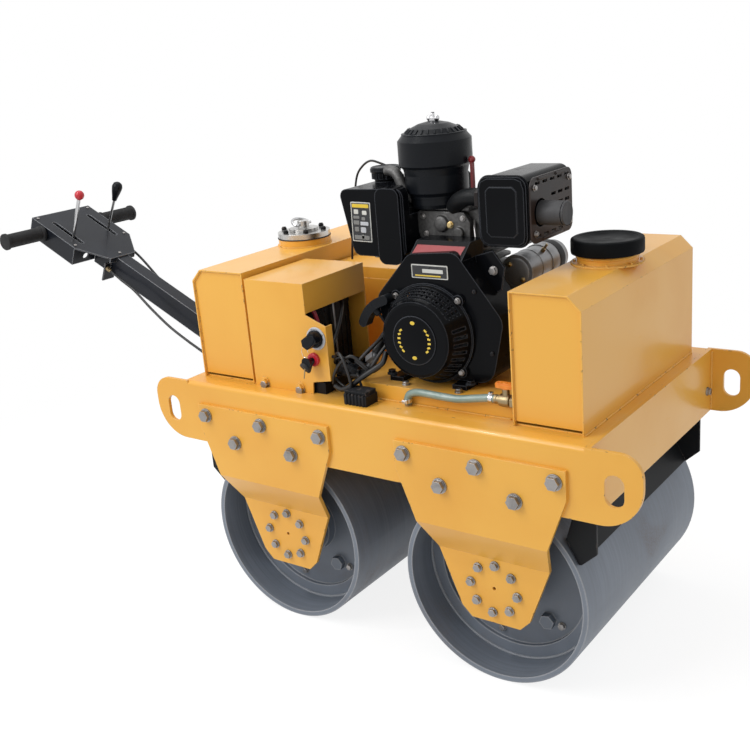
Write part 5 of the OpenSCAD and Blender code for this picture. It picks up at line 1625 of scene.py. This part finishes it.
    def _panel_screws(self) -> None:
        """The bolts at the cabinet's foot and the small screws of the dial's plate."""
        self.screws("cabinet_bolts", facing(NEAR, *(
            (x, self.panel_y - 0.2, self.bolt_height) for x in self.bolt_x)), 17)
        (x, z), r = self.dial, self.dial_circle
        self.screws("dial_screws", facing(NEAR, *(
            (x + r * c, self.panel_y - self.dial_depth, z + r * s)
            for c, s in self.dial_corners)), 3.0, round_head=True, high=1.2)

    def _battery(self) -> None:
        """The battery's lid, ribs, red terminal cover with its lead, and hold-down."""
        corner = Vector(self.battery)
        Solid("battery_lid", spot(*(corner + Vector((64, 90, 158))))).block(
            (130, 182, 16), (0, 0, 9.5), 2.2).finish(Finishes.black_plastic)
        ribs = metres(corner + Vector((128, 14 + 19 * k, 70)) for k in range(9))
        self.bars("battery_ribs", facing(FORWARD, *ribs), (0.118, 0.0026, 0.0016),
                  Finishes.black_plastic)
        Solid("terminal_cover", spot(*(corner + Vector((66, 34, 176))))).lathe(
            [(0, 0), (11, 0), (11.6, 1.5), (11.0, 11), (8.5, 13.5), (0, 14)]).finish(
            Finishes.red_plastic)
        at = spot(*corner)
        Solid("hold_down_rod", at).sweep(self.rod, 2.6, 12).finish(Finishes.zinc)
        Solid("red_lead", at).sweep(smooth_route(self.red_lead, 6), 5.0, 14).finish(
            Finishes.red_cable)

    def _cords(self) -> None:
        """The loom with its ties, the key's loop and the battery's lead."""
        Cord("main_loom", self.loom, 20, Finishes.tape, stands_for=("wiring_harness",),
             stiffness="stiff", sides=24).build()
        Cord("key_loop", self.loop, 7, Finishes.cable).build()
        Cord("battery_lead", self.lead, 9, Finishes.cable).build()
        line = smooth_route(self.loom, 8)
        for k, i in enumerate((30, 46, 60, 78)):
            way = (line[i + 1] - line[i - 1]).normalized()
            tie = Solid(f"loom_tie_{k}")
            tie.lathe([(9.6, -2), (10.9, -2), (10.9, 2), (9.6, 2)], way, line[i], 28)
            tie.block((6, 6, 5), line[i] + Vector((0, -11.5, 1)), 0.8)
            tie.finish(Finishes.black_plastic)

    def _strands(self) -> None:
        """The loom's plugs and loose strands, and the regulator's fins."""
        for k, (at, (long, deep, high), coat) in enumerate(self.plugs):
            plug = Solid(f"loom_plug_{k}", spot(*at) @ Matrix.Rotation(0.35 + 0.3 * k, 4, "Y")
                         @ Matrix.Rotation(0.4 * k, 4, "Z"))
            plug.block((long, deep, high), (0, 0, 0), 1.6)
            plug.block((long * 0.5, deep + 2.4, high * 0.7), (long * 0.28, 0, 0), 0.8)
            plug.block((long * 0.3, deep * 0.5, 2.6), (-long * 0.1, 0, high / 2 + 0.8), 0.6)
            plug.finish(coat)
        for k, (radius, points) in enumerate(self.strands):
            Solid(f"loose_strand_{k}").sweep(smooth_route(points, 8), radius, 12).finish(
                Finishes.cable)
        fins = metres((-23, -309 + 4.4 * k, 602) for k in range(9))
        self.bars("regulator_fins", facing(UP, *fins), (0.056, 0.0017, 0.009),
                  Finishes.dull_black)


@dataclass
class Engine(Dressed):
    """The engine: recoil starter, shroud, head, air cleaner, tank, muffler and starter motor."""

    face: float = -260.0
    wall: float = -200.0
    ear_circle: float = 107.0
    mark_circle: float = 37.0
    cleaner: Point = (54.0, -60.0, 963.0)
    fuel_cap: Point = (-96.0, -35.0, 1016.3)
    cap_grips: int = 30
    cap_radius: float = 33.0
    cap_middle: float = 18.0
    lid_ribs: int = 26
    lid_circle: Pair = (61.5, 154.6)
    lid_slope: Pair = (-0.735, 0.678)
    slots: tuple[float, ...] = (0.22, 0.42, 0.62, 0.8)
    slot_rise: Pair = (8.0, 46.0)
    slot_radius: Pair = (82.6, 21.0)
    muffler: Point = (200.0, -140.0, 898.0)
    muffler_size: Point = (108.0, 190.0, 138.0)
    outlet: Point = (0.0, -94.0, 960.1)
    starter: Point = (115.0, 0.0, 98.0)
    vent: tuple[Point, ...] = (
        (-112, 12, 1009.5), (-112, 12, 1016), (-113, 12, 1023), (-122, 9, 1035), (-140, 3, 1044),
        (-160, -2, 1049), (-181, -4, 1038), (-199, -5, 1016), (-210, -5, 975), (-220, -5, 925),
        (-230, -5, 862), (-235, -5, 818))
    breather: tuple[Point, ...] = (
        (-52, -92, 1040), (-36, -94, 1040), (-20, -97, 1030), (-8, -99, 1008), (4, -98, 988),
        (22, -92, 974), (44, -84, 970))
    elbow: tuple[Point, ...] = (
        (112, -88, 966), (132, -103, 980), (154, -110, 989), (178, -110, 991), (202, -106, 988))
    fuel_pipes: tuple[tuple[Point, ...], ...] = (
        ((20, -70, 952), (8, -92, 930), (6, -108, 906)),
        ((150, -76, 940), (164, -98, 920), (176, -112, 884)))
    side_bolts: tuple[Point, ...] = ((40, -100.4, 946), (138, -100.4, 944), (46, -100.4, 910))
    top_bolts: tuple[Point, ...] = ((30, -58, 970.4), (146, -58, 967.2), (30, -90, 967.4))
    shroud_screws: tuple[Pair, ...] = ((-96, 60), (112, 96), (146, -30), (-70, -86))

    def build(self) -> None:
        """Coats the engine and builds what shows on it."""
        self.coat(Finishes.black, "crankcase", "fan_shroud", "recoil_housing", "fuel_tank",
                  "fuel_cap", "muffler")
        self.coat(Finishes.black_plastic, "air_cleaner_bowl", "air_cleaner_lid", "recoil_grip")
        self.coat(Finishes.sooty, "muffler_guard")
        self.coat(Finishes.grey_cast, "cylinder_head", "hydraulic_pump")
        self.coat(Finishes.starter, "starter_motor", "flywheel_fan")
        self.coat(Finishes.red_paint, "decompression_lever")
        self._recoil()
        self._marks()
        self._shroud()
        self._head()
        self._pipes()
        self._cleaner()
        self._tank()
        self._muffler()
        self._guard()
        self._outlet()
        self._starter()

    def _recoil(self) -> None:
        """Bolts on the housing's ears, arcs over its slots and a step on its face."""
        ears = circle((CRANK[0], self.wall - 7.2, CRANK[2]), self.ear_circle,
                      turn(4, math.radians(45)), True)
        self.screws("recoil_bolts", facing(NEAR, *ears), 10)
        sweep = [math.radians(30 + 2.5 * k) for k in range(43)]
        arcs = Solid("recoil_arcs", on_engine())
        for share in self.slots:
            y, radius = (a + share * b for a, b in (self.slot_rise, self.slot_radius))
            arcs.sweep(circle((0, self.face + y, 0), radius, sweep, True), 2.1, 10)
        arcs.finish(Finishes.black)
        Solid("recoil_face_step", on_engine(0, self.face, 0)).lathe(
            [(0, 0.2), (50.5, 0.2), (51.6, 0.6), (52.4, 1.5), (51.2, 1.9), (0, 1.9)], NEAR,
            steps=96).finish(Finishes.black)

    def _marks(self) -> None:
        """Plain yellow ticks round the recoil's face, with a dot above and below."""
        angles = [math.radians(start + 14.5 * k) for start in (148, -34) for k in range(6)]
        ring = circle((0, self.face - 1.9, 0), self.mark_circle, angles, True)
        self.patterns.bar.lay(
            "recoil_ticks", [(on_engine() @ Vector(p), NEAR, -a) for p, a in zip(ring, angles)],
            Finishes.yellow_mark, sizes={"Length": 0.0072, "Width": 0.0042, "Depth": 0.0004})
        oval = [(5.6 * math.cos(a), 3.9 * math.sin(a)) for a in turn(28)]
        dots = circle((0, self.face - 1.8, 0), self.mark_circle,
                      [math.radians(a) for a in (92, 268)], True)
        for k, at in enumerate(dots):
            Solid(f"recoil_dot_{k}", on_engine(*at)).prism(
                oval, 0.5, soften=0.1, segments=1).finish(Finishes.yellow_mark)

    def plate(self, name: str, place: Matrix, wide: float, high: float,
              stripes: Sequence[tuple[float, float, float, float, Finish]],
              border: float = 2.4) -> None:
        """A plain plate that faces the near side: pale border, dark field and bare stripes.

        Args:
            name: Start of the pieces' names.
            place: Its middle.
            wide: Width in millimetres.
            high: Height in millimetres.
            stripes: Left, low, width, height and finish of each stripe.
            border: Width of the border.
        """
        films = [("border", wide, high, 2.4, 0.7, (0, 0, 0), Finishes.pale_film),
                 ("field", wide - 2 * border, high - 2 * border, 1.4, 0.5, (0, -0.7, 0),
                  Finishes.dark_film)]
        for k, (left, low, w, h, coat) in enumerate(stripes):
            at = (left + w / 2 - wide / 2, -1.2, low + h / 2 - high / 2)
            films.append((f"stripe_{k}", w, h, min(w, h) * 0.2, 0.3, at, coat))
        for word, w, h, radius, depth, at, coat in films:
            Solid(f"{name}_{word}", place).prism(
                round_corners(w, h, radius, radius, 5), depth, at=at).finish(coat, sharp=20)

    def _shroud(self) -> None:
        """Sloped crown with the plain red strip, bare plate, side bracket and oil plug."""
        Solid("red_strip").prism(
            [(-61, 2), (54, 2), (58, 36), (-57, 36)], 0.5, FORWARD, Vector((0, 38, 32)),
            (126, -199.2, 877.6), 0.1, 1).finish(Finishes.red_strip)
        self.plate("shroud_plate", spot(113, self.wall - 0.1, 852), 88, 29, (
            (9, 4.5, 62, 3.0, Finishes.yellow_mark), (27, 12, 50, 8, Finishes.pale_film)))
        Solid("shroud_bracket").prism(
            [(196, 880), (236, 892), (262, 858), (252, 812), (222, 800), (198, 840)], 5,
            at=(0, -150, 0), soften=1.4).finish(Finishes.black)
        self.screws("bracket_bolt", facing(NEAR, (237, -155.2, 852)), 14)
        Solid("oil_plug", spot(196, -106, 640)).lathe(
            [(0, 22), (8, 22), (10.5, 20), (11, 14), (8, 12), (8, 0), (0, 0)], NEAR,
            steps=24).finish(Finishes.hose)
        for k, (x, z) in enumerate(self.shroud_screws):
            place = (CRANK[0] + x, self.wall - 0.2, CRANK[2] + z)
            self.screws(f"shroud_screw_{k}", facing(NEAR, place), 9, round_head=True,
                        coat=Finishes.dull_black)

    def _head(self) -> None:
        """The head's flange and side cover, with their nut and bolts."""
        flange = Solid("intake_flange", spot(88, -58, 958))
        flange.block((128, 78, 9), (0, 0, 6), 2.2)
        flange.block((84, 60, 8), (4, 0, 14), 3)
        flange.finish(Finishes.grey_cast)
        cover = Solid("head_side")
        cover.prism([(28, 902), (60, 894), (120, 888), (152, 892), (154, 934), (140, 956),
                     (30, 958), (22, 948)], 12, at=(0, -88, 0), soften=4, segments=3)
        cover.lathe([(0, 0), (17, 0), (18, 2), (16, 10), (12, 12), (0, 12)], NEAR,
                    (86, -98, 932), 32)
        cover.lathe([(0, 0), (12, 0), (12, 9), (10, 11), (0, 11)], NEAR, (128, -98, 914), 32)
        cover.finish(Finishes.grey_cast, sharp=30)
        self.screws("head_nut", facing(NEAR, (107, -100.4, 930)), 11, coat=Finishes.gold_nut)
        self.screws("head_bolts",
                    facing(NEAR, *self.side_bolts) + facing(UP, *self.top_bolts), 9)

    def _pipes(self) -> None:
        """The breather pipe, the exhaust's elbow, collar and port, and the fuel pipes."""
        Solid("breather_pipe").sweep(smooth_route(self.breather, 8), 11.5, 24).finish(
            Finishes.grey_cast)
        Solid("exhaust_elbow").sweep(smooth_route(self.elbow, 8), 18, 28).finish(
            Finishes.dull_black)
        Solid("exhaust_collar", spot(190, -108, 989.5)).lathe(
            [(19, -4), (27, -4), (28, -3), (28, 4), (27, 5), (19, 5)], FORWARD, steps=6).finish(
            Finishes.sooty, sharp=20)
        port = Solid("exhaust_port")
        port.prism([(140, 880), (170, 876), (201, 902), (201, 948), (172, 962), (140, 956)], 44,
                   at=(0, -38, 0), soften=4, segments=3)
        port.prism([(176, 886), (187, 886), (187, 968), (176, 968)], 60, at=(0, -30, 0),
                   soften=2.5)
        port.finish(Finishes.grey_cast, sharp=30)
        for k, points in enumerate(self.fuel_pipes):
            Solid(f"fuel_pipe_{k}").sweep(smooth_route(points, 8), 3.0, 12).finish(Finishes.zinc)

    def _cleaner(self) -> None:
        """Bands, bead, ribs and wing nut on the air cleaner."""
        x, y, z = self.cleaner
        at = spot(x, y, z)
        band = Solid("cleaner_band", at)
        band.lathe([(68.5, 82), (71.6, 82.4), (72.2, 84), (71.6, 85.6), (68.5, 86)], steps=96)
        band.lathe([(58.8, 22), (61.2, 22.4), (61.6, 25), (61.2, 27.6), (58.8, 28)], steps=96)
        band.finish(Finishes.black_plastic)
        nut = Solid("wing_nut", spot(x, y, z + 176))
        nut.lathe([(8.1, 0), (8.3, 1), (8.2, 7.6), (7, 8.6), (4.2, 9.4), (3.7, 10), (3.7, 16.4),
                   (3.0, 17.4), (0, 17.6)], steps=24)
        for side in (-1, 1):
            nut.lathe([(0, -0.4), (3.2, 0.5), (5.5, 2.8), (6.3, 6), (5.5, 9.2), (3.2, 11.5),
                       (0, 12.4)], at=(side * 9, 0, 0), steps=20)
        nut.finish(Finishes.chrome)
        (radius, rise), (inward, upward) = self.lid_circle, self.lid_slope
        angles = turn(self.lid_ribs)
        ribs = [(at @ Vector(p), Vector(way)) for p, way in zip(
            circle((0, 0, rise), radius, angles), circle((0, 0, upward), inward, angles))]
        self.bars("lid_ribs", ribs, (0.0034, 0.0034, 0.0125), Finishes.black_plastic)
        Solid("lid_bead", at).lathe(
            [(62, 152.2), (66.4, 152.6), (68.2, 153.6), (66.6, 154.6), (62, 154.4)],
            steps=96).finish(Finishes.black_plastic)

    def _tank(self) -> None:
        """The fuel tank's plain plate, vent hose and bolts, and the crown of its cap."""
        self.plate("tank_plate", spot(-86, -152.1, 939) @ Matrix.Rotation(0.02, 4, "Y"), 52, 86, (
            (4, 74, 44, 8, Finishes.yellow_mark), (8, 60, 12, 10, Finishes.pale_film),
            (30, 59, 12, 9, Finishes.pale_film), (6, 50, 16, 6, Finishes.grey_film),
            (28, 47, 9, 7, Finishes.grey_film), (6, 37, 15, 9, Finishes.grey_film),
            (24, 36, 21, 8, Finishes.grey_plastic), (8, 22, 11, 10, Finishes.grey_film),
            (24, 20, 14, 12, Finishes.grey_plastic), (6, 5, 40, 9, Finishes.grey_film),
            (26, 7, 6, 8, Finishes.pale_film)), 2.2)
        Cord("vent_hose", self.vent, 5, Finishes.cable, sides=14).build()
        Solid("fuel_cap_crown", spot(*self.fuel_cap)).lathe(
            [(0, 24), (26, 24), (30.5, 26), (32.6, 25), (33.4, 22), (33.4, 15), (32.4, 13.4),
             (29, 13), (0, 13)], steps=60).finish(Finishes.black_plastic, Body.FUEL_LID)
        at, middle = spot(*self.fuel_cap), UP * self.cap_middle
        ways = [Vector(p) for p in circle((0, 0, 0), 1.0, turn(self.cap_grips))]
        self.bars("fuel_cap_grips",
                  [(at @ (way * self.cap_radius + middle), way) for way in ways],
                  (0.0075, 0.0026, 0.0012), Finishes.black_plastic, Body.FUEL_LID)
        self.screws("tank_bolts", facing(-UP, (-66, -130, 866)) + facing(NEAR, (-6, -150, 872)),
                    12)

    def _muffler(self) -> None:
        """The muffler's rolled seam and pressed end."""
        x, y, z = self.muffler
        wide, _, high = self.muffler_size
        seam = [(x + wide / 2 + a, y + 7, z + high / 2 + b)
                for a, b in round_corners(wide, high, 22, 22.6, 6)]
        Solid("muffler_seam").sweep(seam + seam[:1], 2.2, 10).finish(Finishes.black)
        end = Solid("muffler_end", spot(x, y, z))
        end.prism([(21, 3), (87, 3), (101, 10), (104, 24), (104, 114), (98, 130), (84, 135),
                   (24, 135), (8, 128), (4, 114), (4, 24), (9, 9)], 3.2, soften=2.4, segments=3)
        end.prism([(28, 20), (80, 20), (88, 28), (88, 110), (80, 118), (28, 118), (20, 110),
                   (20, 28)], 2.2, at=(0, -3.0, 0), soften=1.6, segments=3)
        end.finish(Finishes.black, sharp=30)

    def _guard(self) -> None:
        """Screws and pressed ribs on the muffler's guard."""
        x, y, z = self.muffler
        wide, long, high = self.muffler_size
        self.screws("guard_screws", facing(FORWARD, *(
            (x + wide + 7.2, y + a, z + b) for a in (20, long - 20) for b in (24, high - 24))), 9)
        ribs = Solid("guard_ribs", spot(x + wide + 7, y, z))
        for start, up, reach in ((34, high - 9, 46), (110, high - 9, 46), (50, 9, 90)):
            ribs.sweep([(0, start + reach * t, up) for t in (0, 0.06, 0.94, 1)],
                       [0.8, 3.2, 3.2, 0.8], 12)
        ribs.finish(Finishes.sooty)

    def _outlet(self) -> None:
        """The sleeve and rolled rim of the exhaust outlet."""
        Solid("outlet_sleeve", spot(*self.outlet)).lathe(
            [(24.02, 316), (24.25, 316.6), (24.25, 364), (24.02, 366.4)], FORWARD,
            steps=64).finish(Finishes.scaled)
        Solid("outlet_rim", spot(*self.outlet)).lathe(
            [(20.2, 368), (24.02, 368.4), (24.28, 370.4), (23.8, 372.2), (22.2, 372.8),
             (20.2, 372)], FORWARD).finish(Finishes.scaled)

    def _starter(self) -> None:
        """The starter motor's case, cap, band, bolts and terminal."""
        for word, coat, profile in (
                ("case", Finishes.starter,
                 [(0, -31.5), (24, -31.5), (30, -30), (36.6, -26), (37.4, -22), (37.4, 18),
                  (38.4, 19), (38.4, 23), (37.6, 24), (37.6, 64)]),
                ("cap", Finishes.starter,
                 [(37.2, 64), (39.4, 64.4), (39.8, 67), (39.8, 118), (38.6, 122), (36, 125.6),
                  (35.2, 127), (35.2, 143), (33, 146.4), (0, 147.4)]),
                ("band", Finishes.dull_black,
                 [(39.6, 96), (40.4, 96.6), (40.4, 119), (39.4, 122), (38.2, 122)])):
            Solid(f"starter_{word}", on_engine(*self.starter)).lathe(
                profile, LEFT, steps=56).finish(coat, sharp=30)
        x, z = CRANK[0] + self.starter[0], CRANK[2] + self.starter[2]
        self.screws("starter_bolts", facing(NEAR, *(
            (x + 22 * c, -32, z + 22 * s) for c, s in ((0.7, -0.7), (-0.7, 0.7)))), 8,
                    coat=Finishes.gold_nut)
        Solid("starter_stud", on_engine(138, 44, 128)).lathe(
            [(0, 0), (5, 0), (5, 8), (3, 9), (3, 20), (0, 20)], Vector((0.6, 0, 0.8)),
            steps=6).finish(Finishes.brass, sharp=20)


@dataclass
class Handle(Dressed):
    """The folding handle with its control head, grips, levers and cables."""

    bar: Pair = (-780.0, 11.0)
    ribs: int = 24
    rib_start: float = 122.0
    rib_step: float = 4.2
    lever: Pair = (-700.0, -10.0)
    lever_apart: float = 62.0
    ball_top: float = 176.0
    ball_radius: float = 13.4
    knob_foot: float = 143.0
    knob_lean: float = 4.0
    # A dark sheet that paints the shade inside the control head's open box: its place and width
    shelf: Point = (-762.0, 99.5, -16.0)
    shelf_width: float = 199.0
    plate_top: float = 34.1
    plate_screws: tuple[Pair, ...] = (
        (-822, 90), (-822, -90), (-658, 90), (-658, -90), (-574, 0))
    cable: float = 7.0
    near: tuple[Point, ...] = (
        (-1102.4, -34, 752.6), (-1095.2, -34, 749.1), (-1088, -34, 745.7), (-1040, -40, 722))
    far: tuple[Point, ...] = (
        (-1152.2, -60, 802.1), (-1145, -60, 798.6), (-1137.8, -60, 795.2), (-1120, -60, 794.5),
        (-1098, -60, 789), (-1075, -60, 775), (-1047, -60, 753), (-997, -60, 708))
    end: tuple[Point, ...] = (
        (-985, -46, 697), (-920, -52, 652), (-850, -57, 608), (-780, -62, 575), (-710, -74, 552),
        (-650, -92, 533), (-605, -98, 519), (-583, -90, 511), (-575, -74, 511), (-575, -60, 511),
        (-575, -43.9, 511))

    def build(self) -> None:
        """Coats the handle and builds its grips, levers and cables."""
        self.coat(Finishes.charcoal, "handle_beam", "control_head", "handle_bar")
        self.coat(Finishes.grip, "handle_grips")
        self.coat(Finishes.chrome, "travel_lever")
        self.coat(Finishes.steel, "throttle_lever")
        self._grips()
        self._levers()
        self._head()
        self._cables()

    def _grips(self) -> None:
        """Fine ribs round each grip."""
        for side, hand in HANDS:
            places = []
            for k in range(self.ribs):
                y = side * (self.rib_start + self.rib_step * k)
                places.append((on_handle(self.bar[0], y, self.bar[1]) @ Vector(), LEFT, 0.0))
            self.patterns.ring.lay(f"{hand}_grip_ribs", places, Finishes.grip, Body.HANDLE,
                                   {"Radius": 0.0190, "Wire": 0.0008})

    def _levers(self) -> None:
        """The travel lever's red ball and the throttle's dark pear knob."""
        x, z = self.lever
        top, radius, base = self.ball_top, self.ball_radius, self.knob_foot
        round_side = [(radius * math.cos(a), top + radius * math.sin(a))
                      for a in (math.radians(d) for d in range(-60, 85, 9))]
        Solid("red_ball", on_handle(x, -self.lever_apart, z)).lathe(
            [(0, top - 13.6), (5.2, top - 13.2), (5.6, top - 12.2), *round_side,
             (0, top + radius)], steps=40).finish(Finishes.red_plastic, Body.TRAVEL)
        lean = Matrix.Rotation(math.radians(self.knob_lean), 4, "Y")
        Solid("pear_knob", on_handle(x, self.lever_apart, z) @ lean).lathe(
            [(3.8, base - 1), (6.6, base), (8.4, base + 10), (12.2, base + 26), (14.2, base + 37),
             (14.9, base + 44.5), (12.3, base + 53), (6.6, base + 57.5), (0, base + 58.6)],
            steps=40).finish(Finishes.black_plastic, Body.THROTTLE)

    def _head(self) -> None:
        """Painted shade: a dark sheet under the head's slots, and the screws of its plate."""
        # Painted shade: a dark sheet under the slots, where the real box is open and in shade
        Solid("head_shelf", on_handle(*self.shelf)).prism(
            [(-38, 9), (-38, 1), (-37, 0), (37, 0), (38, 1), (38, 9), (35.6, 9), (35.6, 2.4),
             (-35.6, 2.4), (-35.6, 9)], self.shelf_width).finish(Finishes.charcoal, Body.HANDLE)
        out = on_handle().to_3x3() @ UP
        screws = [(on_handle(x, y, self.plate_top) @ Vector(), out, 0.0)
                  for x, y in self.plate_screws]
        self.patterns.screw.lay("plate_screws", screws, Finishes.zinc, Body.HANDLE,
                                {"Across": 0.008, "Height": 0.0026})

    def _cables(self) -> None:
        """Both control cables, with an adjuster at the head and a boot at the hinge."""
        routes = {"near": self.near + self.end,
                  "far": tuple((x, -y, z) for x, y, z in self.far + self.end[1:])}
        for word, route in routes.items():
            Cord(f"{word}_cable", route, self.cable, Finishes.cable, Body.HANDLE,
                 ("control_cables",), sides=16).build()
        for word, route in routes.items():
            first, third, before, last = (Vector(route[i]) for i in (0, 2, -2, -1))
            way = (third - first).normalized()
            fitting = Solid(f"{word}_adjuster")
            fitting.lathe([(3.6, 0.3), (6.5, 0.5), (6.5, 5), (5.0, 6), (5.0, 16), (4.2, 18),
                           (3.6, 22)], way, first, 6)
            fitting.lathe([(3.7, 8), (7.2, 8.4), (7.2, 12), (3.7, 12.4)], way, first, 6)
            fitting.finish(Finishes.brass, Body.HANDLE, 20)
            Solid(f"{word}_boot").lathe(
                [(0, 0.2), (7.4, 0.3), (7.8, 2), (6.2, 8), (6.6, 10), (5.4, 18), (4.4, 26),
                 (3.6, 28)], (before - last).normalized(), last, 24).finish(
                Finishes.rubber, Body.HANDLE)


def main() -> dict:
    """Builds the machine's looks.

    Returns:
        The CAD model's box and the finished one's, as lists.
    """
    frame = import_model()
    before = [list(v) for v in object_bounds()]
    Viewpoint().build()
    Studio().build()
    patterns = Patterns()
    for part in (Frame, Drums, Tanks, Cabinets, Engine, Handle):
        part(frame["nodes"], patterns).build()
        log.info("built %s", part.__name__)
    sizes = {"cad": before, "visual": [list(v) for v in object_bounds()]}
    return sizes


if __name__ == "__main__":
    logging.basicConfig(level=logging.INFO, format="%(name)s: %(message)s")
    log.info("boxes %s", main())
